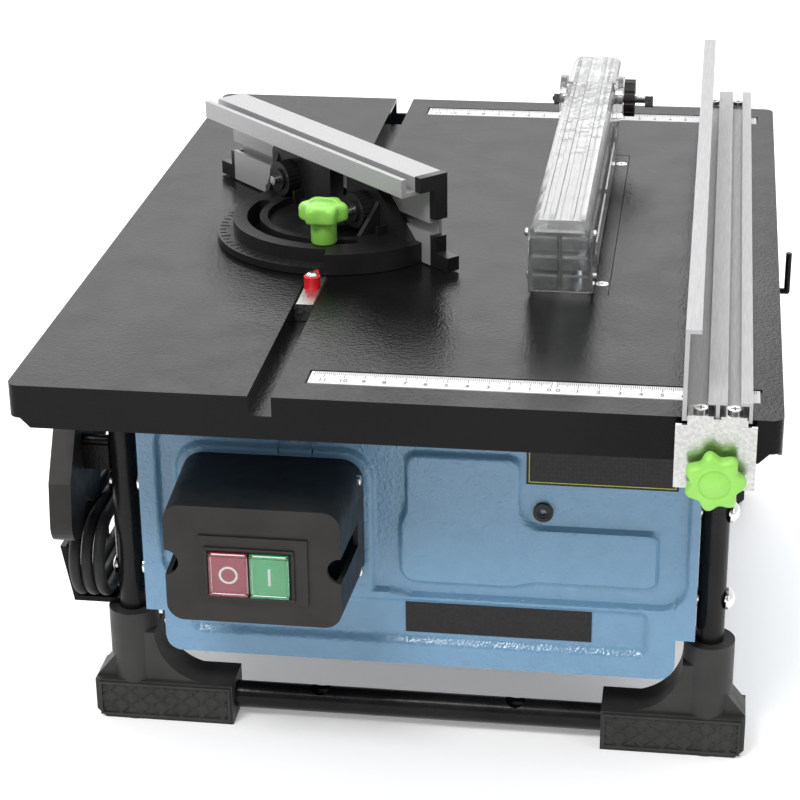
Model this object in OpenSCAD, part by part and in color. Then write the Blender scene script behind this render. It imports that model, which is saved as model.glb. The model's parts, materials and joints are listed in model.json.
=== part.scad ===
// Small bench-top table saw: steel table on a pressed cabinet and two U-shaped leg tubes,
// direct-drive motor on a rack-and-pinion lift, clear blade guard, rip fence and miter gauge.
// Modelling frame: X across the table from the blade, Y back from its front edge, Z up from the floor.

/* [Table] */
// Width of the table, left to right
table_w = 370; // [366:1:374]
// Depth of the table, front to back
table_d = 505; // [501:1:509]
// Height of the table surface above the floor
table_h = 238; // [236:1:242]
// Distance from the blade to the right edge of the table
blade_to_right = 108; // [106:1:110]
// Thickness of the table's steel sheet
sheet_t = 2; // [1.6:0.1:2.4]
// Height of the folded skirt round the table
skirt_h = 22; // [20:1:24]
// Radius of the table's corners
corner_r = 6; // [3:1:10]
// Width of the miter slot
slot_w = 11.5; // [11.2:0.1:12]
// Depth of the miter slot
slot_depth = 10; // [9.5:0.5:11]
// Distance from the blade to the middle of the miter slot
blade_to_slot = 137.75; // [136:0.25:139]

/* [Blade] */
// Diameter of the saw blade
blade_d = 200; // [190:1:200]
// Thickness of the blade's body
blade_body_t = 1.6; // [1.4:0.1:1.8]
// Width of the cut that the tooth tips make
kerf = 2.4; // [2.2:0.1:2.6]
// Diameter of the blade's bore and of the arbor
bore_d = 16; // [15:1:18]
// Number of teeth
teeth = 24; // [16:1:32]
// How far the blade rises from its lowest place to its highest
lift = 45; // [38:1:45]
// Depth of the blade's centre below the table at its lowest place
sink = 103; // [102:0.5:104]

/* [Cabinet] */
// Width of the cabinet
cabinet_w = 294.5; // [293:0.5:294.5]
// Thickness of the cabinet's sheet
panel_t = 1.5; // [1.2:0.1:2]
// Height of the cabinet's lower edge above the floor
cabinet_z = 48; // [46:1:50]
// Diameter of the leg tubes
tube_d = 15; // [14:0.5:16]
// Distance between the two legs of one leg tube
leg_span = 314; // [313:1:316]
// Height of the feet's blocks
foot_h = 24; // [22:1:26]
// Length of the feet's blocks
foot_l = 77; // [74:1:80]

/* [Fences] */
// Length of the rip fence
fence_l = 513; // [511:1:514]
// Height of the rip fence's tall wall
fence_h = 45; // [40:1:46]
// Width of the rip fence's base
fence_w = 32; // [31:0.5:33]
// Length of the miter gauge's own fence
gauge_l = 193; // [185:1:195]
// Angle at which the miter gauge stands at rest
gauge_angle = 45; // [30:1:58]
// Radius of the miter gauge's scale
gauge_r = 68.5; // [66:0.5:70]

/* [Hidden] */
$fn = 48;

// Table
x_left = blade_to_right - table_w;
x_right = blade_to_right;
slot_x = -blade_to_slot;
slot_end = table_d - 27;
skirt_t = 2;
skirt_inset = 5;
insert_x = [-23, 18.6];
insert_y = [152, 394];
insert_t = 3;
insert_gap = 0.4;
insert_screw_y = [169, 378];
insert_screw_x = 14.5;
scale_x = [-118, 97];
scale_y = [20, table_d - 34.2];
scale_w = 14.2;

// Cabinet and legs
cabinet_x = -75 - cabinet_w / 2;
cabinet_x1 = cabinet_x + cabinet_w;
panel_y = 86.5;
rear_y = 415;
panel_top = table_h - sheet_t;
notch_w = 10;
notch_h = 24;
corner_cut = 29;
leg_mid = -77;
leg_x = [leg_mid - leg_span / 2, leg_mid + leg_span / 2];
leg_y = [100, 405];
tube_r = tube_d / 2;
tube_wall = 1.4;
tube_z = 12.5;
leg_top = table_h - 8;
sleeve_r = 13.5;
sleeve_h = 65.7;
foot_w = 26;
foot_out = 21;
bolt_z = [table_h - 97, table_h - 148];
bench_hole_r = 3.5;
bench_hole_x = [leg_mid - 54, leg_mid + 54];

// Switch
switch_y = 26;
switch_x = [-195.3, -105];
switch_z = [table_h - 138, table_h - 73];
switch_flare = 3;
bezel_x = [-175.2, -123.6];
bezel_z = [table_h - 123.7, table_h - 90.7];
plate_t = 0.6;
name_plate = [[-81, 18], [table_h - 171.5, table_h - 152]];
data_plate = [[-17.5, 60.5], [table_h - 80.5, table_h - 30]];
button_z = [table_h - 120.6, table_h - 97.3];
off_x = [-171.6, -152];
on_x = [-150.6, -131];
button_gap = 0.35;

// Lift and motor: V is the blade's centre height at rest
blade_r = blade_d / 2;
blade_y = 250;
blade_z = table_h - sink;
rod_x_at = -45;
rod_dy = 85;
rod_r = 6;
plate_x = [-33, -27];
arbor_r = bore_d / 2;
pinion_teeth = 10;
pinion_m = 2;
pinion_r = pinion_teeth * pinion_m / 2;
screw_x = -8.5;
screw_z = table_h - 96;
screw_r = 3;
pinion_y = [118, 132];
rack_line = screw_x - pinion_r;
tooth_slack = 0.35;
motor_r = 42;
motor_x = [-104, plate_x[0]];
cap_x = -128;
shroud_r = 108;
shroud_top = 50;
shroud_x = [-12, 14];
shroud_seam = 1;
shroud_t = 2;

// Knife and guard
knife_t = 2.2;
knife_r = blade_r + 4;
bolt_y = 398;
bolt_zg = table_h + 36;
bolt_r = 3;
guard_x = [-23, 11];
guard_seam = -6;
guard_t = 2;
guard_top = table_h + 47;
guard_low = table_h + 3;

// Rip fence
fence_x = 61.2;
fence_y = -5;
fence_lift = 0.4;
fence_floor = 2;
rib_h = 10;
clamp_x = fence_x + 16.2;
clamp_z = table_h - 25.5;
stud_r = 2.5;
knob_r = 14.6;
hook_x = [fence_x - 2.9, fence_x + fence_w + 2.6];

// Miter gauge
gauge_y = 232;
bar_y = [121.5, 371.5];
bar_w = slot_w - 0.3;
head_t = 12;
lock_r = 48;
pivot_r = 4;
face_n = 15;
leg_n = 6.8;
gauge_left = -117.5;
gauge_top = 53;
tslot_z = 22;
thumb_s = [-47, 25];

// Left side: push stick, cord hooks and the cord put away
cord_d = 6.5;
hank_x = [-264.5, -244.2];
fold_r = 21.5;
hank_y = [106.75, 236.75];
hank_z = table_h - 165.5;
arm_z = hank_z - cord_d / 2 - 0.25;
hook_out = -273;
hook_t = 3;
hook_ys = [106, 205, 395];
exit_x = -196;
exit_z = hank_z + 10;
relief_l = 28;
stick_x = [-268, -256];
peg_r = 3;
peg_at = [[100, table_h - 74], [335, table_h - 69]];

// The object's own box, for the origin at the middle of its base
low_y = -18.6;
high_y = fence_y + fence_l + 1.5;
high_x = x_right + 6.6;
origin = [(hook_out + high_x) / 2, (low_y + high_y) / 2, 0];

steel = "silver";
zinc = "gainsboro";
black_paint = "#2b2b2b";
black_plastic = "#1f1f1f";
blue_paint = "#6f9ab8";
green_plastic = "#96dc69";
alloy = "#c9c9c9";
clear = "#dfe8ec";

module placed() {
    translate(-origin) children();
}

module box(x, y, z) {
    translate([x[0], y[0], z[0]]) cube([x[1] - x[0], y[1] - y[0], z[1] - z[0]]);
}

module pin_x(x, y, z, r) {
    translate([x[0], y, z]) rotate([0, 90, 0]) cylinder(r = r, h = x[1] - x[0]);
}

module pin_y(x, y, z, r) {
    translate([x, y[0], z]) rotate([-90, 0, 0]) cylinder(r = r, h = y[1] - y[0]);
}

module pin_z(x, y, z, r) {
    translate([x, y, z[0]]) cylinder(r = r, h = z[1] - z[0]);
}

// A YZ outline given thickness along X
module slab_x(x, outline) {
    translate([x[0], 0, 0]) rotate([90, 0, 90]) linear_extrude(x[1] - x[0]) polygon(outline);
}

// An XZ outline given thickness along Y
module slab_y(y, outline) {
    translate([0, y[1], 0]) rotate([90, 0, 0]) linear_extrude(y[1] - y[0]) polygon(outline);
}

function arc(cx, cy, r, a0, a1, n = 8) =
    [for (i = [0:n]) [cx + r * cos(a0 + (a1 - a0) * i / n), cy + r * sin(a0 + (a1 - a0) * i / n)]];

// ---------- table ----------

module plate(x, y, z, r) {
    box([x[0] + r, x[1] - r], y, z);
    box(x, [y[0] + r, y[1] - r], z);
    for (px = [x[0] + r, x[1] - r], py = [y[0] + r, y[1] - r]) pin_z(px, py, z, r);
}

function skirt_outline(a, b) = [
    [a, table_h - 1], [a, table_h - skirt_h + skirt_inset], [a + skirt_inset, table_h - skirt_h],
    [b - skirt_inset, table_h - skirt_h], [b, table_h - skirt_h + skirt_inset], [b, table_h - 1]];

module skirts() {
    across = skirt_outline(x_left + corner_r, x_right - corner_r);
    along = skirt_outline(corner_r, table_d - corner_r);
    for (y = [0, table_d - skirt_t]) slab_y([y, y + skirt_t], across);
    for (x = [x_left, x_right - skirt_t]) slab_x([x, x + skirt_t], along);
}

// Quarter rings that close the skirt at the table's rounded corners
module skirt_corners() {
    low = table_h - skirt_h + skirt_inset;
    for (i = [0, 1], j = [0, 1]) {
        cx = i == 0 ? x_left + corner_r : x_right - corner_r;
        cy = j == 0 ? corner_r : table_d - corner_r;
        reach = corner_r + 1;
        difference() {
            pin_z(cx, cy, [low, table_h - 1], corner_r);
            pin_z(cx, cy, [low - 1, table_h], max(corner_r - skirt_t, 0.5));
            box(i == 0 ? [cx, cx + reach] : [cx - reach, cx], [cy - reach, cy + reach], [low - 1, table_h]);
            box([cx - reach, cx + reach], j == 0 ? [cy, cy + reach] : [cy - reach, cy], [low - 1, table_h]);
        }
    }
}

module slot_channel() {
    half = slot_w / 2 + 2;
    box([slot_x - half, slot_x + half], [skirt_t, slot_end],
        [table_h - slot_depth - 2, table_h - sheet_t + 0.5]);
}

module insert_ledges() {
    low = table_h - insert_t - 2;
    for (y = [insert_y[0] - 5, insert_y[1] - 4])
        box([insert_x[0], insert_x[1]], [y, y + 9], [low, table_h - sheet_t + 0.5]);
    for (y = insert_screw_y)
        box([insert_screw_x - 5, insert_x[1] + 6], [y - 8, y + 8], [low, table_h - sheet_t + 0.5]);
}

module table_top() {
    z0 = table_h - sheet_t;
    groove = 0.8;
    color(black_paint) placed() difference() {
        union() {
            plate([x_left, x_right], [0, table_d], [z0, table_h], corner_r);
            skirts();
            skirt_corners();
            slot_channel();
            insert_ledges();
        }
        box([insert_x[0] - insert_gap, insert_x[1] + insert_gap],
            [insert_y[0] - insert_gap, insert_y[1] + insert_gap], [table_h - insert_t, table_h + 1]);
        box([slot_x - slot_w / 2, slot_x + slot_w / 2], [-1, table_d + 1],
            [table_h - slot_depth, table_h + 1]);
        for (y = scale_y) {
            box([scale_x[0] - 1, scale_x[1] + 1], [y - 1.2, y + scale_w + 1.2],
                [table_h - groove, table_h + 1]);
        }
        for (y = insert_screw_y) pin_z(insert_screw_x, y, [table_h - 10, table_h + 1], 2.1);
    }
}

module scale_strips() {
    color("white") placed() for (y = scale_y)
        box(scale_x, [y, y + scale_w], [table_h - 0.8, table_h - 0.15]);
}

module throat_insert() {
    color(black_paint) placed() difference() {
        box(insert_x, insert_y, [table_h - insert_t, table_h - 0.1]);
        box([-3, 3], [insert_y[0] + 6, insert_y[1] - 4], [table_h - 6, table_h + 1]);
        for (y = insert_screw_y) {
            pin_z(insert_screw_x, y, [table_h - 6, table_h + 1], 2.1);
            pin_z(insert_screw_x, y, [table_h - 1.6, table_h + 1], 3.6);
        }
    }
}

module insert_screws() {
    color(steel) placed() for (y = insert_screw_y) difference() {
        union() {
            pin_z(insert_screw_x, y, [table_h - 7.4, table_h - 1.5], 2);
            pin_z(insert_screw_x, y, [table_h - 1.6, table_h - 0.2], 3.4);
        }
        for (a = [0, 90]) translate([insert_screw_x, y, table_h]) rotate(a) cube([4, 0.8, 1.6], center = true);
    }
}

// ---------- cabinet ----------

function panel_outline(a, b) = concat(
    [[a, panel_top], [a, cabinet_z + notch_h]],
    arc(a + notch_w - 4, cabinet_z + notch_h - 4, 4, 90, 0, 4),
    arc(a + notch_w + 9, cabinet_z + 9, 9, 180, 270, 6),
    arc(b - notch_w - 9, cabinet_z + 9, 9, 270, 360, 6),
    arc(b - notch_w + 4, cabinet_z + notch_h - 4, 4, 180, 90, 4),
    [[b, cabinet_z + notch_h], [b, panel_top]]);

// Room for the miter channel in a panel's upper edge
module channel_notch(y) {
    half = slot_w / 2 + 2.3;
    box([slot_x - half, slot_x + half], [y - 1, y + panel_t + 1], [table_h - slot_depth - 2.3, table_h]);
}

module front_panel() {
    color(blue_paint) placed() difference() {
        slab_y([panel_y, panel_y + panel_t], panel_outline(cabinet_x, cabinet_x1));
        channel_notch(panel_y);
        box([switch_x[0] + 8, switch_x[1] - 8], [panel_y - 1, panel_y + 3],
            [switch_z[0] + 8, switch_z[1] - 8]);
        pin_y(screw_x, [panel_y - 1, panel_y + 3], screw_z, 4.2);
    }
}

module rear_panel() {
    color(blue_paint) placed() difference() {
        slab_y([rear_y, rear_y + panel_t], panel_outline(cabinet_x, cabinet_x1));
        channel_notch(rear_y);
        pin_y(0, [rear_y - 1, rear_y + 3], table_h - 130, 17);
        pin_y(exit_x, [rear_y - 1, rear_y + 3], exit_z, 4.5);
        for (i = [0:6]) box([-120 + i * 12, -114 + i * 12], [rear_y - 1, rear_y + 3],
            [table_h - 140, table_h - 90]);
    }
}

module side_panel(x) {
    color(blue_paint) placed() difference() {
        box([x, x + panel_t], [panel_y + panel_t, rear_y], [cabinet_z, panel_top]);
        for (y = leg_y, z = bolt_z) pin_x([x - 1, x + 3], y, z, 3.2);
        for (y = [panel_y, rear_y - corner_cut + 1]) box([x - 1, x + 3], [y, y + corner_cut],
            [cabinet_z - 1, cabinet_z + notch_h]);
    }
}

module left_panel() {
    side_panel(cabinet_x);
}

module right_panel() {
    side_panel(cabinet_x1 - panel_t);
}

module leg_tube_shape(y, r) {
    for (x = leg_x) {
        pin_z(x, y, [tube_z, leg_top], r);
        translate([x, y, tube_z]) sphere(r = r);
    }
    pin_x(leg_x, y, tube_z, r);
}

module leg_tube(y) {
    color(black_paint) placed() difference() {
        leg_tube_shape(y, tube_r);
        leg_tube_shape(y, tube_r - tube_wall);
        for (x = leg_x) pin_z(x, y, [leg_top - 1, leg_top + 1], tube_r - tube_wall);
        for (x = leg_x, z = bolt_z) pin_x([x - 9, x + 9], y, z, 3.2);
        for (x = bench_hole_x) {
            pin_z(x, y, [-1, tube_z + 9], bench_hole_r);
            pin_z(x, y, [tube_z, tube_z + 9], 5.5);
        }
    }
}

module front_leg_tube() {
    leg_tube(leg_y[0]);
}

module rear_leg_tube() {
    leg_tube(leg_y[1]);
}

// One foot on the right-hand leg; side -1 makes the left-hand one
module foot(y, side) {
    bend_r = 30;
    reach = foot_l - foot_out;
    translate([leg_mid + side * leg_span / 2, y, 0]) mirror([side < 0 ? 1 : 0, 0, 0]) difference() {
        union() {
            slab_y([-foot_w / 2, foot_w / 2], [[-reach, 0], [foot_out - 5, 0], [foot_out, 5],
                [foot_out, foot_h], [-reach, foot_h]]);
            difference() {
                box([-sleeve_r - bend_r, 0], [-foot_w / 2 + 2, foot_w / 2 - 2], [foot_h, foot_h + bend_r]);
                pin_y(-sleeve_r - bend_r, [-foot_w, foot_w], foot_h + bend_r, bend_r);
            }
            slab_y([-foot_w / 2 + 4, foot_w / 2 - 4], [[0, foot_h], [foot_out, foot_h], [0, foot_h + 26]]);
            pin_z(0, 0, [0, sleeve_h], sleeve_r);
        }
        pin_z(0, 0, [tube_z, sleeve_h + 1], tube_r + 0.1);
        pin_x([-foot_l, 0], 0, tube_z, tube_r + 0.1);
        translate([0, 0, tube_z]) sphere(r = tube_r + 0.1);
    }
}

module feet(y) {
    color(black_plastic) placed() for (side = [-1, 1]) foot(y, side);
}

module front_feet() {
    feet(leg_y[0]);
}

module rear_feet() {
    feet(leg_y[1]);
}

// Carriage bolt from the outside of a leg into the cabinet, with a spacer nut and an inner nut
module leg_bolts() {
    color(steel) placed() for (side = [-1, 1], y = leg_y, z = bolt_z) {
        wall = side < 0 ? cabinet_x : cabinet_x1;
        leg = side < 0 ? leg_x[0] : leg_x[1];
        translate([leg, y, z]) mirror([side < 0 ? 1 : 0, 0, 0]) {
            reach = abs(wall - leg);
            inner = -reach - panel_t;
            ball = side < 0 ? 9 : 6.8;
            rise = side < 0 ? 2.2 : 4.8;
            pin_x([inner - 8, tube_r + 1], 0, 0, 3);
            intersection() {
                translate([tube_r + rise - ball, 0, 0]) sphere(r = ball);
                pin_x([tube_r + 0.05, tube_r + 8], 0, 0, 6);
            }
            pin_x([inner - 5, inner - 0.05], 0, 0, 5.2, $fn = 6);
            pin_x([-reach + 0.05, -tube_r - 0.05], 0, 0, 5.2);
        }
    }
}

// ---------- switch ----------

module rounded_face(grow, y, r) {
    for (x = [switch_x[0] - grow + r, switch_x[1] + grow - r],
         z = [switch_z[0] - grow + r, switch_z[1] + grow - r])
        pin_y(x, y, z, r, $fn = 32);
}

module switch_shell(inset, front, back) {
    hull() {
        rounded_face(-inset, [front, front + 0.5], 9 - inset);
        rounded_face(switch_flare - inset, [back - 0.5, back], 12 - inset);
    }
}

module switch_housing() {
    mid = (switch_z[0] + switch_z[1]) / 2;
    color(black_plastic) placed() difference() {
        switch_shell(0, switch_y, panel_y);
        switch_shell(2.5, switch_y + 2.5, panel_y + 1);
        box(bezel_x, [switch_y - 1, switch_y + 5], bezel_z);
        for (x = switch_x) pin_y(x, [switch_y - 1, switch_y + 42], mid, 7);
    }
}

module switch_bezel() {
    rim = 0.2;
    lip = 1.2;
    color(black_plastic) placed() difference() {
        union() {
            box([bezel_x[0] + rim, bezel_x[1] - rim], [switch_y, switch_y + 12],
                [bezel_z[0] + rim, bezel_z[1] - rim]);
            box([bezel_x[0] - 2, bezel_x[1] + 2], [switch_y - lip, switch_y],
                [bezel_z[0] - 2, bezel_z[1] + 2]);
        }
        for (x = [off_x, on_x])
            box([x[0] - button_gap, x[1] + button_gap], [switch_y - 2, switch_y + 13],
                [button_z[0] - button_gap, button_z[1] + button_gap]);
    }
}

module switch_core() {
    color("#3a3a3a") placed() difference() {
        box([bezel_x[0] + 2, bezel_x[1] - 2], [switch_y + 12, switch_y + 44],
            [bezel_z[0] + 1, bezel_z[1] - 1]);
        for (x = [off_x, on_x])
            box([x[0] + 5, x[1] - 5], [switch_y + 11, switch_y + 22], [button_z[0] + 5, button_z[1] - 5]);
    }
}

module button(x, tint) {
    color(tint) placed() {
        box(x, [switch_y - 3.5, switch_y + 7], button_z);
        box([x[0] + 6, x[1] - 6], [switch_y + 7, switch_y + 16], [button_z[0] + 6, button_z[1] - 6]);
    }
}

module off_button() {
    button(off_x, "#b03050");
}

module on_button() {
    button(on_x, "#4fc07a");
}

module blank_plates() {
    color("#26282a") placed() {
        for (p = [name_plate, data_plate]) box(p[0], [panel_y - plate_t, panel_y], p[1]);
    }
}

// ---------- height adjustment ----------

module height_bush() {
    color(black_plastic) placed() difference() {
        union() {
            pin_y(screw_x, [panel_y - 2.2, panel_y], screw_z, 5.2);
            pin_y(screw_x, [panel_y, panel_y + panel_t + 6], screw_z, 4.15);
        }
        pin_y(screw_x, [panel_y - 5, panel_y + 12], screw_z, screw_r + 0.05);
    }
}

module height_screw() {
    color(steel) placed() difference() {
        pin_y(screw_x, [panel_y - 1.6, 141], screw_z, screw_r);
        pin_y(screw_x, [panel_y - 3, panel_y + 4], screw_z, 2, $fn = 6);
    }
}

// Trapezoid teeth on the pitch circle, one tooth pointing along +X
function tooth_ring(n, m) = let (p = 360 / n, rp = n * m / 2, ra = rp + 0.8 * m, rf = rp - 1.1 * m)
    [for (i = [0:n - 1], c = [[rf, -0.36], [ra, -0.12], [ra, 0.12], [rf, 0.36]])
        let (a = (i + c[1]) * p) [c[0] * cos(a), c[0] * sin(a)]];

module height_pinion() {
    color(steel) placed() difference() {
        translate([screw_x, pinion_y[1], screw_z]) rotate([90, 0, 0])
            linear_extrude(pinion_y[1] - pinion_y[0]) polygon(tooth_ring(pinion_teeth, pinion_m));
        pin_y(screw_x, [pinion_y[0] - 1, pinion_y[1] + 1], screw_z, screw_r);
    }
}

module lift_rack() {
    pitch = PI * pinion_m;
    count = 10;
    top_tooth = screw_z + pitch / 2;
    root = rack_line - 1.1 * pinion_m - tooth_slack;
    tip = rack_line + 0.75 * pinion_m - tooth_slack;
    teeth_points = [for (i = [0:count - 1], c = [[root, 0.3], [tip, 0.1], [tip, -0.1], [root, -0.3]])
        [c[0], top_tooth - i * pitch + c[1] * pitch]];
    high = top_tooth + pitch / 2;
    low = top_tooth - (count - 0.5) * pitch;
    color(steel) placed() slab_y([pinion_y[0] + 1, pinion_y[1] - 1],
        concat([[plate_x[1], high], [root, high]], teeth_points, [[root, low], [plate_x[1], low]]));
}

module guide_rods() {
    color(steel) placed() for (side = [-1, 1])
        pin_z(rod_x_at, blade_y + side * rod_dy, [cabinet_z + 2, table_h - 4], rod_r);
}

module rod_brackets() {
    color("#55585c") placed() {
        for (side = [-1, 1]) {
            y = blade_y + side * rod_dy;
            difference() {
                box([cabinet_x + panel_t, cabinet_x1 - panel_t], [y - 12, y + 12],
                    [cabinet_z - 6, cabinet_z + 2]);
                box([cabinet_x + 8, cabinet_x1 - 8], [y - 9, y + 9], [cabinet_z - 7, cabinet_z - 2]);
            }
            difference() {
                box([rod_x_at - 12, plate_x[0] - 1], [y - 12, y + 12], [table_h - 16, table_h - sheet_t]);
                pin_z(rod_x_at, y, [table_h - 17, table_h - 4], rod_r);
            }
        }
        difference() {
            box([screw_x - 7, screw_x + 7], [136, 139], [screw_z - 8, table_h - sheet_t]);
            pin_y(screw_x, [135, 141], screw_z, screw_r + 0.05);
        }
    }
}

// ---------- moving carriage ----------

module lift_carriage() {
    v = blade_z;
    color("#8f9499") placed() difference() {
        union() {
            slab_x(plate_x, [[pinion_y[0], v - 50], [340, v - 50], [388, v - 22], [388, v + 8],
                [345, v + 50], [155, v + 50], [pinion_y[0], v + 20]]);
            for (side = [-1, 1]) {
                y = blade_y + side * rod_dy;
                pin_z(rod_x_at, y, [v - 20, v + 20], 11);
                box([rod_x_at, plate_x[0] + 0.5], [y - 8, y + 8], [v - 20, v + 20]);
            }
            pin_x([plate_x[0], shroud_x[0]], blade_y, v, 22);
            box([plate_x[0], -knife_t / 2], [366, 384], [v - 18, v + 2]);
        }
        for (side = [-1, 1])
            pin_z(rod_x_at, blade_y + side * rod_dy, [v - 21, v + 21], rod_r + 0.05);
        pin_x([-24, shroud_x[0] + 1], blade_y, v, bore_d);
        pin_x([plate_x[0] - 1, -20], blade_y, v, arbor_r + 2);
        pin_x([-16, 1], 375, v - 8, 2.5);
    }
}

module motor_housing() {
    v = blade_z;
    color("#3c4043") placed() difference() {
        union() {
            pin_x(motor_x, blade_y, v, motor_r);
            for (a = [0:20:340]) translate([motor_x[0] + 8, blade_y, v]) rotate([a, 0, 0])
                translate([0, -1, motor_r - 1]) cube([48, 2, 2.2]);
        }
        pin_x([motor_x[0] - 1, motor_x[1] - 4], blade_y, v, motor_r - 3);
        pin_x([motor_x[0] - 1, motor_x[1] + 1], blade_y, v, arbor_r + 4);
    }
}

module motor_end_cap() {
    v = blade_z;
    color("#26282a") placed() difference() {
        pin_x([cap_x, motor_x[0]], blade_y, v, motor_r);
        pin_x([cap_x + 3, motor_x[0] + 1], blade_y, v, motor_r - 3);
        for (a = [0:45:315]) translate([cap_x - 1, blade_y, v]) rotate([a, 0, 0])
            translate([0, -3, 20]) cube([5, 6, 14]);
    }
}

module stator() {
    color("#b06a3a") placed() difference() {
        pin_x([-94, -52], blade_y, blade_z, motor_r - 3);
        pin_x([-95, -51], blade_y, blade_z, 27);
    }
}

module rotor_shaft() {
    v = blade_z;
    color(steel) placed() {
        pin_x([-94, -52], blade_y, v, 26.2);
        pin_x([-52, 5], blade_y, v, arbor_r);
        pin_x([5, 20], blade_y, v, arbor_r - 1);
        pin_x([-124, -94], blade_y, v, 5);
        difference() {
            pin_x([-112, -100], blade_y, v, 34);
            for (a = [0:36:324]) translate([-110, blade_y, v]) rotate([a, 0, 0])
                translate([0, -1.5, 14]) cube([11, 10, 22]);
        }
    }
}

module bearings() {
    color(steel) placed() {
        difference() {
            pin_x([-22, -13], blade_y, blade_z, bore_d);
            pin_x([-23, -12], blade_y, blade_z, arbor_r + 0.05);
        }
        difference() {
            pin_x([cap_x + 3, cap_x + 11], blade_y, blade_z, 13);
            pin_x([cap_x + 2, cap_x + 12], blade_y, blade_z, 5.05);
        }
    }
}

module blade_flanges() {
    half = blade_body_t / 2;
    color(steel) placed() for (x = [[-9, -half], [half, 4.6]]) difference() {
        pin_x(x, blade_y, blade_z, 20);
        pin_x([x[0] - 1, x[1] + 1], blade_y, blade_z, arbor_r);
    }
}

// Rim of gullets: each tooth has a face, a tip, a back and a hollow before the next
function blade_outline() = let (p = 360 / teeth)
    [for (i = [0:teeth - 1], c = [[0, 7.5], [0.02, 0.6], [0.22, 0.9], [0.55, 3.5], [0.72, 8.5], [0.86, 9.5]])
        let (a = (i + c[0]) * p, r = blade_r - c[1]) [r * cos(a), r * sin(a)]];

module saw_blade() {
    half = blade_body_t / 2;
    pitch = 360 / teeth;
    color(steel) placed() difference() {
        union() {
            translate([-half, blade_y, blade_z]) rotate([90, 0, 90])
                linear_extrude(blade_body_t) polygon(blade_outline());
            for (i = [0:teeth - 1]) translate([0, blade_y, blade_z]) rotate([i * pitch, 0, 0])
                translate([-kerf / 2, blade_r - 7.5, -0.6]) cube([kerf, 7.5, 2]);
        }
        pin_x([-2, 2], blade_y, blade_z, arbor_r);
    }
}

module arbor_nut() {
    color(steel) placed() difference() {
        union() {
            pin_x([4.6, 6], blade_y, blade_z, 12);
            pin_x([6, 13], blade_y, blade_z, 12, $fn = 6);
        }
        pin_x([5, 14], blade_y, blade_z, arbor_r - 1);
        pin_x([4, 5], blade_y, blade_z, arbor_r);
    }
}

module shroud_outline(x, r) {
    v = blade_z;
    difference() {
        pin_x(x, blade_y, v, r, $fn = 96);
        box([x[0] - 1, x[1] + 1], [blade_y - 120, blade_y + 120], [v + shroud_top, v + 120]);
        box([x[0] - 1, x[1] + 1], [blade_y + 94, blade_y + 120], [v - 34, v + 120]);
    }
}

module shroud_left() {
    color(black_plastic) placed() difference() {
        shroud_outline([shroud_x[0], shroud_seam], shroud_r);
        shroud_outline([shroud_x[0] + shroud_t, shroud_seam + 1], shroud_r - shroud_t);
        box([-10, 5], [blade_y - 104, blade_y + 92], [blade_z + 40, blade_z + 60]);
        box([-10, 5], [blade_y + 60, blade_y + 100], [blade_z - 34, blade_z + 60]);
        pin_x([shroud_x[0] - 1, 0], blade_y, blade_z, 21);
    }
}

module shroud_right() {
    color(black_plastic) placed() difference() {
        shroud_outline([shroud_seam, shroud_x[1]], shroud_r);
        shroud_outline([shroud_seam - 1, shroud_x[1] - shroud_t], shroud_r - shroud_t);
        box([0, shroud_x[1] - shroud_t], [blade_y - 104, blade_y + 92], [blade_z + 40, blade_z + 60]);
        box([0, shroud_x[1] - shroud_t], [blade_y + 60, blade_y + 100], [blade_z - 34, blade_z + 60]);
        pin_x([0, shroud_x[1] + 1], blade_y, blade_z, 24);
    }
}

// The knife's outline about the blade's centre: arc behind the blade, then an arm up to the guard
function knife_outline() = let (dy = bolt_y - blade_y, dz = bolt_zg - blade_z) concat(
    arc(0, 0, knife_r, -8, 46, 10),
    arc(dy, dz, 7.5, 150, -30, 8),
    [[137, 100], [137, -19]]);

module riving_knife() {
    half = knife_t / 2;
    color(steel) placed() {
        difference() {
            translate([0, blade_y, blade_z]) slab_x([-half, half], knife_outline());
            pin_x([-3, 3], bolt_y, bolt_zg, bolt_r + 0.08);
            pin_x([-3, 3], 375, blade_z - 8, 2.6);
        }
        pin_x([-15, half], 375, blade_z - 8, 2.5);
        pin_x([half, half + 3.5], 375, blade_z - 8, 5);
    }
}

// ---------- guard ----------

function guard_side(o) = [
    [146 + o, guard_low], [130 + o, guard_top - 4 - o], [133 + o, guard_top - o],
    [452 - o, guard_top - o], [471 - o, guard_top - 9 - o], [474 - o, guard_top - 21],
    [440, guard_low + 11], [330, guard_low]];

function guard_front(o) = [
    [guard_x[0] + o, guard_low - 1 - o], [guard_x[0] + o, guard_low + 10],
    [guard_x[0] + 2 + o, guard_top - 5], [guard_x[0] + 6 + o, guard_top - o],
    [guard_x[1] - 6 - o, guard_top - o], [guard_x[1] - 2 - o, guard_top - 5],
    [guard_x[1] - o, guard_low + 10], [guard_x[1] - o, guard_low - 1 - o]];

module guard_solid(x, o) {
    intersection() {
        slab_x(x, guard_side(o));
        slab_y([120, 480], guard_front(o));
    }
}

// The hollow runs out through the bottom, which is open
module guard_hollow(x) {
    guard_solid(x, guard_t);
    intersection() {
        slab_x(x, [[150, guard_low - 1], [150, guard_low + 3], [330, guard_low + 3],
            [440, guard_low + 14], [462, guard_low + 20], [470, guard_low + 20],
            [440, guard_low + 9], [330, guard_low - 1]]);
        slab_y([120, 480], guard_front(guard_t));
    }
}

module guard_half(x, boss, tip) {
    color(clear, 0.5) placed() difference() {
        union() {
            difference() {
                guard_solid(x, 0);
                guard_hollow([x[0] - 1, x[1] + 1]);
            }
            pin_x(boss, bolt_y, bolt_zg, 8);
            pin_x(tip, bolt_y, bolt_zg, 13);
        }
        pin_x([-40, 40], bolt_y, bolt_zg, bolt_r);
    }
}

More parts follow.
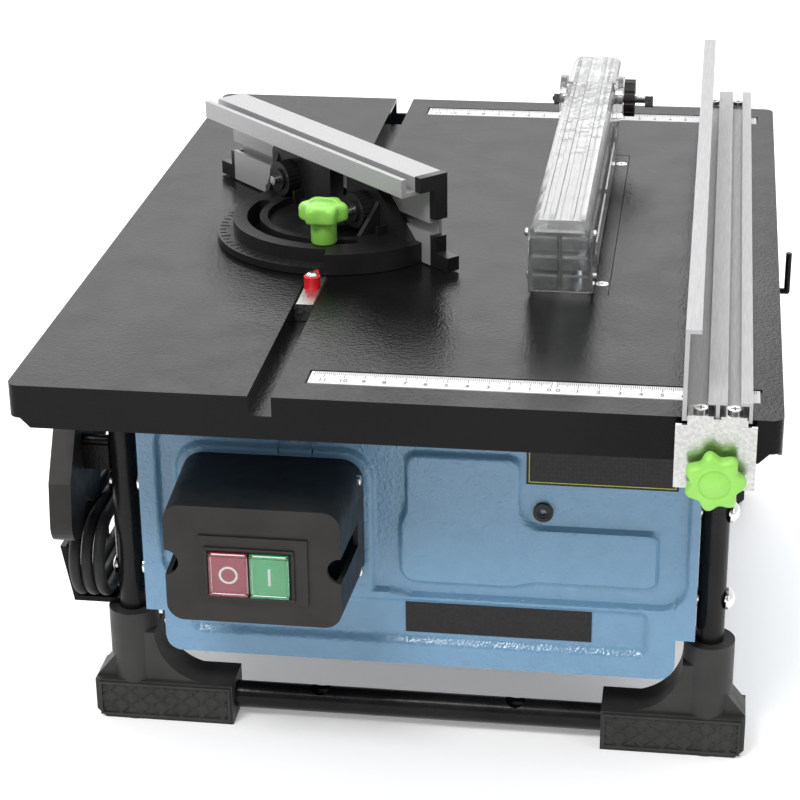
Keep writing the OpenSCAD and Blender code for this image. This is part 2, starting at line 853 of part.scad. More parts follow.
module guard_left() {
    guard_half([guard_x[0], guard_seam - 0.1], [guard_x[0] + 0.5, -1.4], [guard_x[0] - 2, guard_x[0] + 2]);
}

module guard_right() {
    guard_half([guard_seam + 0.1, guard_x[1]], [1.4, guard_x[1] - 0.5], [guard_x[1] - 2, guard_x[1] + 2.6]);
}

module guard_bolt() {
    color(steel) placed() {
        pin_x([guard_x[0] - 7, 31], bolt_y, bolt_zg, bolt_r);
        pin_x([27, 32], bolt_y, bolt_zg, 5.8, $fn = 6);
        pin_x([guard_x[0] - 6, guard_x[0] - 2], bolt_y, bolt_zg, 5.5, $fn = 6);
    }
}

module guard_knob() {
    x = [guard_x[1] + 3.2, guard_x[1] + 9.8];
    color(black_plastic) placed() difference() {
        pin_x(x, bolt_y, bolt_zg, 11.4);
        for (a = [0:30:330]) translate([0, bolt_y, bolt_zg]) rotate([a, 0, 0])
            pin_x([x[0] - 1, x[1] + 1], 0, 12.2, 1.6);
        pin_x([x[0] - 1, x[1] + 1], bolt_y, bolt_zg, bolt_r + 0.06);
    }
}

module dust_port() {
    z = table_h - 130;
    color(black_plastic) placed() difference() {
        union() {
            pin_y(0, [rear_y + panel_t, rear_y + panel_t + 4], z, 26);
            pin_y(0, [rear_y + panel_t, rear_y + panel_t + 34], z, 18);
            pin_y(0, [rear_y - 12, rear_y + panel_t + 1], z, 16.8);
        }
        pin_y(0, [rear_y - 13, rear_y + 40], z, 15.5);
    }
}

// ---------- rip fence ----------

function fence_section() = let (z = table_h + fence_lift, a = fence_x, w = fence_w) [
    [a, z], [a + w, z], [a + w, z + rib_h], [a + w - 5.5, z + rib_h],
    [a + w - 5.5, z + rib_h - 1.5], [a + w - 1.6, z + rib_h - 1.5], [a + w - 1.6, z + fence_floor],
    [a + 17, z + fence_floor], [a + 17, z + rib_h - 1.5], [a + 20.4, z + rib_h - 1.5],
    [a + 20.4, z + rib_h], [a + 11.6, z + rib_h], [a + 11.6, z + rib_h - 1.5],
    [a + 15.2, z + rib_h - 1.5], [a + 15.2, z + fence_floor], [a + 2, z + fence_floor],
    [a + 2, z + fence_h - 2], [a + 7.4, z + fence_h - 2], [a + 7.4, z + fence_h], [a, z + fence_h]];

module fence_profile() {
    color(alloy) placed() difference() {
        slab_y([fence_y, fence_y + fence_l], fence_section());
        for (x = [fence_x + 8.4, fence_x + 24], y = [fence_y + 5, fence_y + fence_l - 5])
            pin_z(x, y, [table_h, table_h + 3.5], 2.1);
    }
}

// Folded plate at one end of the fence: two tabs on its floor, and a wall down past the table's skirt
module fence_hook_plate(y, out, low, tab) {
    z = table_h + fence_lift + fence_floor;
    face = [min(y, y + out), max(y, y + out)];
    over = [min(y + out, y - tab * sign(out)), max(y + out, y - tab * sign(out))];
    box(hook_x, face, [low, table_h - 1]);
    box([hook_x[0] + 5.4, hook_x[1] - 4.4], face, [table_h - 1, z]);
    for (x = [[hook_x[0] + 5.4, fence_x + 14.4], [fence_x + 17.8, hook_x[1] - 5]])
        box(x, over, [z, z + 1.4]);
}

module fence_screw(x, y) {
    z = table_h + fence_lift + fence_floor;
    pin_z(x, y, [z - 1.8, z + 1.4], 2);
    pin_z(x, y, [z + 1.4, z + 3], 3.4);
}

module fence_hooks() {
    ends = [fence_y, fence_y + fence_l];
    color(zinc) placed() {
        for (i = [0, 1]) difference() {
            fence_hook_plate(ends[i], i == 0 ? -1.5 : 1.5, table_h - (i == 0 ? 33 : 16), 11);
            pin_y(clamp_x, [-20, 20], clamp_z, stud_r + 0.06);
            for (x = [fence_x + 8.4, fence_x + 24])
                pin_z(x, ends[i] + (i == 0 ? 5 : -5), [table_h, table_h + 6], 2.1);
        }
        for (x = [fence_x + 8.4, fence_x + 24], y = [ends[0] + 5, ends[1] - 5]) fence_screw(x, y);
        difference() {
            box([clamp_x - 9, clamp_x + 9], [skirt_t + 0.4, skirt_t + 4], [table_h - 32, table_h - 15]);
            pin_y(clamp_x, [0, 10], clamp_z, stud_r + 0.06);
        }
    }
}

// Lobed knob outline
function lobes(r, n, depth) = [for (i = [0:n * 10 - 1]) let (a = i * 36 / n)
    [(r - depth * (1 - cos(a * n)) / 2) * cos(a), (r - depth * (1 - cos(a * n)) / 2) * sin(a)]];

module fence_knob() {
    color(green_plastic) placed() {
        translate([clamp_x, -9.6, clamp_z]) rotate([90, 0, 0])
            linear_extrude(9) polygon(lobes(knob_r, 7, 3));
        pin_y(clamp_x, [-9.7, -6.8], clamp_z, 7.5);
    }
    color(steel) placed() pin_y(clamp_x, [-6.8, 10], clamp_z, stud_r);
}

// ---------- miter gauge ----------

// The head's own frame: pivot at the origin, fence along X, scale towards -Y
module on_gauge() {
    translate([slot_x, gauge_y, table_h]) rotate(-gauge_angle) children();
}

module gauge_bar() {
    h = slot_depth - 0.6;
    half = bar_w / 2;
    low = table_h - slot_depth + 0.3;
    color(steel) placed() difference() {
        union() {
            slab_y(bar_y, [[slot_x - half, low], [slot_x + half, low], [slot_x + half, low + h - 1.2],
                [slot_x + half - 1.2, low + h], [slot_x - half + 1.2, low + h],
                [slot_x - half, low + h - 1.2]]);
            pin_z(slot_x, gauge_y, [low + 1, table_h + head_t + 2], pivot_r);
            pin_z(slot_x, gauge_y, [table_h + head_t + 0.4, table_h + head_t + 2.4], 6.5);
        }
        pin_z(slot_x, gauge_y - lock_r, [table_h - 7, table_h + 1], 3.06);
    }
}

module gauge_pointer() {
    y = bar_y[0] + 24;
    top = table_h - 0.3;
    color("#c8141e") placed() {
        difference() {
            union() {
                pin_z(slot_x, y, [top, top + 7], 4.4);
                translate([0, 0, top + 2]) linear_extrude(3)
                    polygon([[slot_x - 4.2, y], [slot_x + 4.2, y], [slot_x + 0.8, y + 14.5],
                        [slot_x - 0.8, y + 14.5]]);
            }
            pin_z(slot_x, y, [top + 6, top + 8], 3);
        }
        pin_z(slot_x, y, [top + 6, top + 7.6], 2.8);
    }
}

module ring_sector(r0, r1, z, a0, a1) {
    points = concat(arc(0, 0, r1, a0, a1, 40), arc(0, 0, r0, a1, a0, 40));
    translate([0, 0, z[0]]) linear_extrude(z[1] - z[0]) polygon(points);
}

module gauge_head() {
    wall = [leg_n - 6.5, leg_n];
    rim = 9;
    color(black_plastic) placed() on_gauge() difference() {
        union() {
            difference() {
                translate([0, 0, 0.4]) cylinder(r = gauge_r, h = head_t - 0.4, $fn = 96);
                box([-80, 80], [leg_n, 80], [-1, 20]);
                ring_sector(gauge_r - rim, gauge_r + 2, [4.5, 20], 183, 318);
                ring_sector(20, lock_r - 8, [8, 20], 185, 355);
            }
            slab_y(wall, [[-66, head_t - 1], [-66, 34], [-58, 43], [-30, 43], [-22, 38], [14, 38], [20, 42],
                [30, 42], [64, head_t - 1]]);
            slab_x([-62, -59], [[wall[0] + 1, head_t - 1], [wall[0] + 1, 36], [-8, head_t - 1]]);
            slab_x([36, 39], [[wall[0] + 1, head_t - 1], [wall[0] + 1, 30], [-14, head_t - 1]]);
        }
        pin_z(0, 0, [-1, head_t + 1], pivot_r + 0.06);
        pin_z(0, 0, [head_t, 60], 8);
        ring_sector(lock_r - 3.6, lock_r + 3.6, [-1, 20], 207, 333);
        for (a = [207, 333]) rotate(a) pin_z(lock_r, 0, [-1, 20], 3.6);
        for (s = thumb_s) pin_y(s, [-20, 20], tslot_z, 2.56);
    }
}

module gauge_knob() {
    y = gauge_y - lock_r;
    z = table_h + head_t;
    color(green_plastic) placed() {
        pin_z(slot_x, y, [z + 0.3, z + 13.1], 7);
        translate([slot_x, y, z + 13]) linear_extrude(9.6) polygon(lobes(13.6, 6, 2.6));
    }
    color(steel) placed() pin_z(slot_x, y, [table_h - 6.6, z + 0.4], 3);
}

// Section of the gauge's fence in the head's frame: tall face with a T-slot, and a lip in front
function gauge_section() = [
    [leg_n, 1], [face_n, 1], [face_n, gauge_top], [-3, gauge_top], [-3, gauge_top - 8],
    [-9, gauge_top - 8], [-9, gauge_top], [-12, gauge_top], [-12, gauge_top - 10],
    [leg_n, gauge_top - 10], [leg_n, tslot_z + 3], [leg_n + 2, tslot_z + 3],
    [leg_n + 2, tslot_z + 6], [face_n - 2, tslot_z + 6], [face_n - 2, tslot_z - 6],
    [leg_n + 2, tslot_z - 6], [leg_n + 2, tslot_z - 3], [leg_n, tslot_z - 3]];

module gauge_fence() {
    color(alloy) placed() on_gauge()
        translate([gauge_left, 0, 0]) slab_x([0, gauge_l], gauge_section());
}

module gauge_end_caps() {
    right = gauge_left + gauge_l;
    color(black_plastic) placed() on_gauge() {
        slab_x([right, right + 5], [[face_n, gauge_top + 0.5], [-3, gauge_top + 0.5], [-3, gauge_top - 8],
            [leg_n, gauge_top - 8], [leg_n, tslot_z + 6], [face_n, tslot_z + 6]]);
        for (side = [[right, right + 4, right + 15], [gauge_left, gauge_left - 4, gauge_left - 15]]) {
            near = min(side[0], side[1]);
            far = min(side[0], side[2]);
            box([near, near + 4], [leg_n + 0.4, face_n], [1, tslot_z - 4]);
            box([far, far + 15], [leg_n + 0.4, face_n], [1, 9]);
        }
    }
}

module gauge_bolts() {
    color(steel) placed() on_gauge() for (s = thumb_s) {
        pin_y(s, [-12.8, leg_n + 2.3], tslot_z, 2.5);
        pin_y(s, [leg_n + 2.3, leg_n + 5], tslot_z, 5);
    }
}

module thumb_knob(s) {
    back = leg_n - 6.8;
    color(black_plastic) placed() on_gauge() difference() {
        union() {
            pin_y(s, [back - 8, back], tslot_z, 10);
            pin_y(s, [back - 9.5, back - 8], tslot_z, 6);
        }
        for (a = [0:15:345]) translate([s, 0, tslot_z]) rotate([0, a, 0])
            pin_y(10.4, [back - 10, back + 1], 0, 0.7, $fn = 16);
        pin_y(s, [back - 10, back + 1], tslot_z, 2.56);
    }
}

module thumb_knob_left() {
    thumb_knob(thumb_s[0]);
}

module thumb_knob_right() {
    thumb_knob(thumb_s[1]);
}

// ---------- left side and cord ----------

module push_stick() {
    z = table_h;
    color(black_plastic) placed() difference() {
        slab_x(stick_x, concat(
            [[118, z - 44], [88, z - 62], [72, z - 88]], arc(81, z - 112, 12, 170, 300, 8),
            [[98, z - 107], [110, z - 116], [124, z - 115], [136, z - 96], [160, z - 80],
             [398, z - 74], [408, z - 40], [394, z - 40], [386, z - 58], [150, z - 58]]));
        for (p = peg_at) pin_x([stick_x[0] - 1, stick_x[1] + 1], p[0], p[1], peg_r + 0.5);
    }
}

// Strap hook that holds the cord; its arm leans out a little
module cord_hook(y, wall) {
    slab_y([y - 7, y + 7], [[wall, arm_z - hook_t], [hook_out + 6, arm_z - hook_t],
        [hook_out, arm_z + 30], [hook_out + hook_t, arm_z + 30],
        [hook_out + 8.2, arm_z], [wall, arm_z]]);
}

// Cord hooks, the push stick's pegs with a rest for its handle, and the wire hook at the right
module side_hooks() {
    leg_face = leg_x[0] - tube_r;
    walls = [leg_face, cabinet_x, leg_face];
    color(black_paint) placed() {
        for (i = [0:2]) cord_hook(hook_ys[i], walls[i] - 0.05);
        pin_x([stick_x[0] - 1, leg_face - 0.05], peg_at[0][0], peg_at[0][1], peg_r);
        pin_x([stick_x[0] - 1, cabinet_x - 0.05], peg_at[1][0], peg_at[1][1], peg_r);
        box([stick_x[1] + 0.3, leg_face - 0.05], [97, 103], [table_h - 90, table_h - 76]);
    }
    color(steel) placed() {
        pin_x([x_right, x_right + 5], 205, table_h - 14, 1.6);
        translate([x_right + 5, 205, table_h - 14]) sphere(r = 1.6);
        pin_z(x_right + 5, 205, [table_h - 14, table_h + 8], 1.6);
    }
}

module strain_relief() {
    color(black_plastic) placed() difference() {
        union() {
            pin_y(exit_x, [rear_y + panel_t, rear_y + panel_t + 4], exit_z, 8);
            pin_y(exit_x, [rear_y + panel_t, rear_y + relief_l], exit_z, 4.9);
            pin_y(exit_x, [rear_y - 6, rear_y + panel_t + 1], exit_z, 4.4);
        }
        pin_y(exit_x, [rear_y - 7, rear_y + relief_l + 1], exit_z, cord_d / 2);
    }
}

// Route of the free cord, from the strain relief round the rear leg to the hank
cord_route = [
    [-196, 443, 82.5], [-197, 454, 81.5], [-203, 465, 80], [-213, 473, 78.5], [-224, 476, 77],
    [-235, 473, 75.5], [-244, 465, 74.5], [-249, 452, 73.5], [-250, 436, 72.8], [-249, 416, 72.5],
    [-248, 395, 72.5], [-248, 372, 71.8], [-248, 348, 70.8], [-248, 324, 70.2], [-248, 300, 70.4],
    [-248, 278, 71.3], [-247.7, 253.8, 72.4]];

function unit(v) = v / norm(v);
function route_dir(p, i) = unit(p[min(i + 1, len(p) - 1)] - p[max(i - 1, 0)]);

module tube_along(points, r, sides) {
    n = len(points);
    rings = [for (i = [0:n - 1]) let (t = route_dir(points, i), b = unit(cross(t, [0, 0, 1])), u = cross(b, t))
        for (k = [0:sides - 1]) points[i] + r * (cos(k * 360 / sides) * b + sin(k * 360 / sides) * u)];
    walls = [for (i = [0:n - 2], k = [0:sides - 1])
        [i * sides + k, (i + 1) * sides + k, (i + 1) * sides + (k + 1) % sides, i * sides + (k + 1) % sides]];
    first = [for (k = [0:sides - 1]) k];
    last = [for (k = [0:sides - 1]) (n - 1) * sides + sides - 1 - k];
    polyhedron(rings, concat([first], walls, [last]));
}

module cord_tail() {
    color("#1a1a1a") placed() tube_along(cord_route, cord_d / 2, 8);
}

module cord_hank() {
    outer = fold_r + cord_d / 2;
    z = hank_z + fold_r;
    color("#1a1a1a") placed() slab_x(hank_x, concat(
        arc(hank_y[0], z, outer, 270, 90, 12), arc(hank_y[1], z, outer, 90, -90, 12)));
}

module cord_plug() {
    z = hank_z + 2 * fold_r + cord_d / 2 + 17;
    x = -241;
    color("#1a1a1a") placed() {
        pin_y(x, [172, 192], z, 6);
        pin_y(x, [192, 222], z, 17);
    }
    color(steel) placed() for (dz = [-9.5, 9.5]) pin_y(x, [222, 241], z + dz, 2.4);
}

table_top();
scale_strips();
throat_insert();
insert_screws();
front_panel();
rear_panel();
left_panel();
right_panel();
front_leg_tube();
rear_leg_tube();
front_feet();
rear_feet();
leg_bolts();
switch_housing();
switch_bezel();
switch_core();
off_button();
on_button();
blank_plates();
height_bush();
height_screw();
height_pinion();
guide_rods();
rod_brackets();
lift_carriage();
lift_rack();
motor_housing();
motor_end_cap();
stator();
rotor_shaft();
bearings();
blade_flanges();
saw_blade();
arbor_nut();
shroud_left();
shroud_right();
riving_knife();
guard_left();
guard_right();
guard_bolt();
guard_knob();
dust_port();
fence_profile();
fence_hooks();
fence_knob();
gauge_bar();
gauge_pointer();
gauge_head();
gauge_knob();
gauge_fence();
gauge_end_caps();
gauge_bolts();
thumb_knob_left();
thumb_knob_right();
push_stick();
side_hooks();
strain_relief();
cord_tail();
cord_hank();
cord_plug();
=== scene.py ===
import json
import math

import bpy
import bmesh
from mathutils import Matrix, Vector


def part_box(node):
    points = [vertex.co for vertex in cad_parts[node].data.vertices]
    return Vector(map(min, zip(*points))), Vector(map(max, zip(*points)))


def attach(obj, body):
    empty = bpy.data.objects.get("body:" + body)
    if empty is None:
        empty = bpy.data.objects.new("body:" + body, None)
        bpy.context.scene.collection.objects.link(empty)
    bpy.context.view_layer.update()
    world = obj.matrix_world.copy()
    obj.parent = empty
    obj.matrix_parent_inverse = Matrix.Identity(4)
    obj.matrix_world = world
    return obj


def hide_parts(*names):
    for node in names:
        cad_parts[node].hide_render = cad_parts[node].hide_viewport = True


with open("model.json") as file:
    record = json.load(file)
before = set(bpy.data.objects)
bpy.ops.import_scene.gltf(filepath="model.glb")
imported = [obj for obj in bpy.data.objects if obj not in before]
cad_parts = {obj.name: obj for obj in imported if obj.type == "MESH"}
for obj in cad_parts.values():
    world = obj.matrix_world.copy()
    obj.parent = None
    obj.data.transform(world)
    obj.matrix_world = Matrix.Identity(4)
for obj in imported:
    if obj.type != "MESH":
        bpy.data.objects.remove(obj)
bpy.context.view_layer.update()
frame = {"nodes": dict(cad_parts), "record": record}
MM = 0.001

# ---------------------------------------------------------------- places
# Lengths are millimetres: X from the blade, Y back from the table's front edge, Z up from its surface.
BLADE_X = sum(c[0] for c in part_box("saw_blade")) / 2
FRONT_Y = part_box("table_top")[0][1]
TOP_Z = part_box("table_top")[1][2]
FLOOR = -TOP_Z / MM


def at(x, y, z):
    return Vector((BLADE_X + x * MM, FRONT_Y + y * MM, TOP_Z + z * MM))


# ---------------------------------------------------------------- camera
CAMERA_AT = (68.4, -952.4, 426.1)
CAMERA_YAW = math.radians(-8.281)
CAMERA_DOWN = math.radians(23.789)
CAMERA_ROLL = math.radians(-0.67)
CAMERA_LENS = 101.0


def make_camera():
    data = bpy.data.cameras.new("camera")
    data.lens = CAMERA_LENS
    data.sensor_width = 36
    data.clip_end = 50
    cam = bpy.data.objects.new("camera", data)
    bpy.context.scene.collection.objects.link(cam)
    ahead = Vector((math.sin(CAMERA_YAW) * math.cos(CAMERA_DOWN),
                    math.cos(CAMERA_YAW) * math.cos(CAMERA_DOWN), -math.sin(CAMERA_DOWN)))
    side = Vector((math.cos(CAMERA_YAW), -math.sin(CAMERA_YAW), 0))
    up = side.cross(ahead)
    right = math.cos(CAMERA_ROLL) * side + math.sin(CAMERA_ROLL) * up
    top = -math.sin(CAMERA_ROLL) * side + math.cos(CAMERA_ROLL) * up
    turn = Matrix((right, top, -ahead)).transposed().to_4x4()
    cam.matrix_world = Matrix.Translation(at(*CAMERA_AT)) @ turn
    bpy.context.scene.camera = cam


make_camera()


# ---------------------------------------------------------------- materials
NOISE_LOW = 0.35
NOISE_HIGH = 0.65


class Shader:
    """A Principled material built from object-space noise."""

    def __init__(self, name, color, rough, metallic=0.0, **sockets):
        self.mat = bpy.data.materials.new(name)
        self.mat.use_nodes = True
        self.nodes = self.mat.node_tree.nodes
        self.links = self.mat.node_tree.links
        self.bsdf = self.nodes["Principled BSDF"]
        self.bsdf.inputs["Base Color"].default_value = (*color, 1)
        self.bsdf.inputs["Roughness"].default_value = rough
        self.bsdf.inputs["Metallic"].default_value = metallic
        for key, value in sockets.items():
            self.bsdf.inputs[key.replace("_", " ")].default_value = value
        self.place = self.nodes.new("ShaderNodeTexCoord").outputs["Object"]
        self.normal = None

    def stretch(self, scale):
        node = self.nodes.new("ShaderNodeMapping")
        node.inputs["Scale"].default_value = scale
        self.links.new(self.place, node.inputs["Vector"])
        return node.outputs["Vector"]

    def noise(self, scale, detail=2.0, stretch=None):
        node = self.nodes.new("ShaderNodeTexNoise")
        node.inputs["Scale"].default_value = scale
        node.inputs["Detail"].default_value = detail
        self.links.new(self.stretch(stretch) if stretch else self.place, node.inputs["Vector"])
        return node.outputs["Fac"]

    def tint(self, fac, dark, light):
        node = self.nodes.new("ShaderNodeValToRGB")
        node.color_ramp.elements[0].position = NOISE_LOW
        node.color_ramp.elements[0].color = (*dark, 1)
        node.color_ramp.elements[1].position = NOISE_HIGH
        node.color_ramp.elements[1].color = (*light, 1)
        self.links.new(fac, node.inputs["Fac"])
        self.links.new(node.outputs["Color"], self.bsdf.inputs["Base Color"])
        return self

    def rough(self, fac, low, high):
        node = self.nodes.new("ShaderNodeMapRange")
        limits = (("From Min", NOISE_LOW), ("From Max", NOISE_HIGH), ("To Min", low), ("To Max", high))
        for key, value in limits:
            node.inputs[key].default_value = value
        self.links.new(fac, node.inputs["Value"])
        self.links.new(node.outputs["Result"], self.bsdf.inputs["Roughness"])
        return self

    def bump(self, fac, depth_mm):
        node = self.nodes.new("ShaderNodeBump")
        node.inputs["Strength"].default_value = 1.0
        node.inputs["Distance"].default_value = depth_mm * MM
        self.links.new(fac, node.inputs["Height"])
        if self.normal:
            self.links.new(self.normal, node.inputs["Normal"])
        self.normal = node.outputs["Normal"]
        self.links.new(self.normal, self.bsdf.inputs["Normal"])
        return self


def powder_black():
    s = Shader("black_powder_coat", (0.004, 0.004, 0.0042), 0.2, Specular_IOR_Level=0.11)
    s.tint(s.noise(14, 3), (0.003, 0.003, 0.0031), (0.0055, 0.0055, 0.0057))
    s.rough(s.noise(45, 3), 0.17, 0.25)
    s.bump(s.noise(620, 1.5), 0.2).bump(s.noise(1100, 1), 0.07)
    return s.mat


def gloss_black():
    s = Shader("gloss_black_enamel", (0.003, 0.003, 0.003), 0.24, Specular_IOR_Level=0.2)
    s.tint(s.noise(25, 3), (0.004, 0.004, 0.004), (0.009, 0.009, 0.0087))
    s.rough(s.noise(60, 3), 0.2, 0.34)
    s.bump(s.noise(500, 1.5), 0.05)
    return s.mat


def hammered_blue():
    s = Shader("hammered_blue_enamel", (0.16, 0.31, 0.46), 0.3, Specular_IOR_Level=0.6)
    s.tint(s.noise(120, 2), (0.132, 0.268, 0.408), (0.142, 0.285, 0.43))
    s.rough(s.noise(90, 3), 0.16, 0.27)
    s.bump(s.noise(620, 1.4), 0.5).bump(s.noise(300, 1), 0.16)
    return s.mat


def grained_plastic(name, dark, light, low, high):
    s = Shader(name, dark, low, Specular_IOR_Level=0.25)
    s.tint(s.noise(38, 4), dark, light)
    s.rough(s.noise(120, 3), low, high)
    s.bump(s.noise(1500, 2), 0.05)
    return s.mat


def bright_plastic(name, color, lighter):
    s = Shader(name, color, 0.36, Subsurface_Weight=0.12)
    s.bsdf.inputs["Subsurface Radius"].default_value = (0.4, 1.0, 0.3)
    s.bsdf.inputs["Subsurface Scale"].default_value = 2 * MM
    s.tint(s.noise(60, 3), color, lighter)
    s.rough(s.noise(150, 3), 0.3, 0.44)
    s.bump(s.noise(1300, 2), 0.03)
    return s.mat


def ground_metal(name, color, low, high, stretch, depth=0.02, grain=900):
    s = Shader(name, color, low, 1.0)
    lighter = tuple(min(1, c * 1.14) for c in color)
    lines = s.noise(grain, 3, stretch)
    s.tint(s.noise(40, 4, stretch), color, lighter)
    s.rough(lines, low, high)
    s.bump(lines, depth)
    return s.mat


def satin_alloy(name, stretch):
    s = Shader(name, (0.5, 0.5, 0.505), 0.5, 0.55)
    lines = s.noise(1400, 3, stretch)
    s.tint(s.noise(500, 3, stretch), (0.37, 0.37, 0.375), (0.46, 0.46, 0.465))
    s.rough(lines, 0.46, 0.62)
    s.bump(lines, 0.02)
    return s.mat


def zinc_plate():
    s = Shader("zinc_plate", (0.78, 0.78, 0.76), 0.16, 1.0)
    s.tint(s.noise(700, 3), (0.40, 0.41, 0.40), (0.52, 0.52, 0.50))
    s.rough(s.noise(160, 4), 0.2, 0.3)
    s.bump(s.noise(900, 3), 0.05)
    return s.mat


def clear_plastic():
    s = Shader("clear_moulded_plastic", (0.83, 0.84, 0.84), 0.07, Transmission_Weight=0.88, IOR=1.4)
    s.rough(s.noise(120, 3), 0.04, 0.16)
    s.bump(s.noise(70, 2), 0.3).bump(s.noise(500, 2), 0.02)
    return s.mat


def button_cap():
    s = Shader("clear_button_cap", (0.97, 0.97, 0.97), 0.04, Transmission_Weight=1.0, IOR=1.4)
    s.rough(s.noise(200, 3), 0.02, 0.08)
    s.bump(s.noise(180, 2), 0.05)
    return s.mat


def print_white():
    s = Shader("scale_white", (0.78, 0.79, 0.79), 0.35)
    s.tint(s.noise(200, 3), (0.58, 0.59, 0.595), (0.66, 0.665, 0.665))
    s.bump(s.noise(900, 2), 0.02)
    return s.mat


def flat_ink(name, color, lighter):
    s = Shader(name, color, 0.35, Specular_IOR_Level=0.25)
    s.tint(s.noise(600, 2), color, lighter)
    s.rough(s.noise(500, 2), 0.35, 0.5)
    return s.mat


def motor_paint():
    s = Shader("motor_enamel", (0.05, 0.052, 0.055), 0.4)
    s.tint(s.noise(60, 3), (0.04, 0.041, 0.044), (0.07, 0.072, 0.076))
    s.rough(s.noise(200, 3), 0.35, 0.5)
    s.bump(s.noise(800, 2), 0.05)
    return s.mat


def copper():
    s = Shader("lacquered_copper", (0.45, 0.18, 0.07), 0.35, 0.8)
    wires = s.noise(900, 2, (1, 4, 4))
    s.tint(wires, (0.32, 0.12, 0.05), (0.55, 0.24, 0.1))
    s.bump(wires, 0.1)
    return s.mat


MATERIALS = {
    "black_enamel": powder_black(),
    "leg_enamel": gloss_black(),
    "blue_enamel": hammered_blue(),
    "scale": print_white(),
    "screw_steel": ground_metal("bright_zinc_screws", (0.72, 0.72, 0.7), 0.16, 0.3, (1, 1, 1)),
    "bright_steel": ground_metal("ground_steel", (0.56, 0.56, 0.56), 0.22, 0.38, (1, 8, 1)),
    "bracket_steel": ground_metal("plain_steel", (0.3, 0.31, 0.32), 0.35, 0.55, (1, 1, 1)),
    "blade_steel": ground_metal("blade_steel", (0.6, 0.61, 0.62), 0.2, 0.34, (1, 1, 6)),
    "zinc": zinc_plate(),
    "satin_alloy": satin_alloy("satin_alloy", (6, 0.12, 6)),
    "gauge_alloy": satin_alloy("satin_alloy_gauge", (2.4, 2.4, 6)),
    "cast_alloy": ground_metal("cast_alloy", (0.46, 0.47, 0.48), 0.42, 0.6, (1, 1, 1), 0.06, 500),
    "motor_enamel": motor_paint(),
    "copper_lacquer": copper(),
    "foot_plastic": grained_plastic(
        "foot_plastic", (0.026, 0.026, 0.0245), (0.037, 0.037, 0.035), 0.4, 0.52),
    "black_plastic": grained_plastic(
        "black_plastic", (0.0155, 0.0145, 0.0135), (0.022, 0.0205, 0.019), 0.38, 0.5),
    "gauge_plastic": grained_plastic(
        "gauge_plastic", (0.0085, 0.0085, 0.009), (0.014, 0.014, 0.0145), 0.3, 0.42),
    "green_plastic": bright_plastic("green_plastic", (0.225, 0.54, 0.075), (0.265, 0.60, 0.095)),
    "red_plastic": bright_plastic("red_plastic", (0.52, 0.006, 0.012), (0.62, 0.012, 0.02)),
    "red_button": bright_plastic("red_button", (0.33, 0.022, 0.055), (0.39, 0.03, 0.07)),
    "green_button": bright_plastic("green_button", (0.05, 0.42, 0.15), (0.065, 0.48, 0.18)),
    "plate_print": flat_ink("plate_print", (0.011, 0.011, 0.0115), (0.017, 0.017, 0.0175)),
    "clear_plastic": clear_plastic(),
    "cord_rubber": grained_plastic("cord_rubber", (0.0125, 0.0125, 0.0125), (0.02, 0.02, 0.02), 0.45, 0.6),
}
CLEAR_CAP = button_cap()
# Dark ink for the scale print, also used as painted shade in the screws' cross recesses.
PRINT_AND_RECESS_SHADE_INK = flat_ink("scale_print_and_painted_recess_shade", (0.02, 0.02, 0.022), (0.03, 0.03, 0.03))
WHITE_INK = flat_ink("white_ink", (0.78, 0.78, 0.76), (0.84, 0.84, 0.82))
LIME_INK = flat_ink("lime_ink", (0.36, 0.42, 0.04), (0.44, 0.5, 0.06))
GREY_INK = flat_ink("grey_ink", (0.05, 0.05, 0.05), (0.07, 0.07, 0.07))
BLACK_OXIDE = ground_metal("blackened_steel", (0.03, 0.03, 0.032), 0.35, 0.5, (1, 1, 1))

SLOT_OF = {p["node"]: p["material_slot"] for p in frame["record"]["subparts"]}


# ---------------------------------------------------------------- mesh helpers
def finish_piece(obj, body, slot, mat=None):
    obj.data.materials.clear()
    obj.data.materials.append(mat or MATERIALS[slot])
    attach(obj, body)
    return obj


def mesh_object(name, verts, faces, weld=False):
    mesh = bpy.data.meshes.new(name)
    mesh.from_pydata([tuple(v) for v in verts], [], faces)
    mesh.validate()
    bm = bmesh.new()
    bm.from_mesh(mesh)
    if weld:
        bmesh.ops.remove_doubles(bm, verts=bm.verts, dist=0.002 * MM)
    bmesh.ops.recalc_face_normals(bm, faces=bm.faces)
    bm.to_mesh(mesh)
    bm.free()
    obj = bpy.data.objects.new(name, mesh)
    bpy.context.scene.collection.objects.link(obj)
    return obj


def round_edges(obj, width_mm, segments=2, angle=35):
    mod = obj.modifiers.new("round_edges", "BEVEL")
    mod.width = width_mm * MM
    mod.segments = segments
    mod.limit_method = "ANGLE"
    mod.angle_limit = math.radians(angle)
    mod.use_clamp_overlap = True
    even = obj.modifiers.new("even_normals", "WEIGHTED_NORMAL")
    even.mode = "FACE_AREA"
    even.weight = 60
    return obj


def shade(obj, angle=35):
    """Smooth shading that keeps edges sharper than the angle."""
    mesh = obj.data
    mesh.polygons.foreach_set("use_smooth", [True] * len(mesh.polygons))
    mesh.set_sharp_from_angle(angle=math.radians(angle))
    return obj


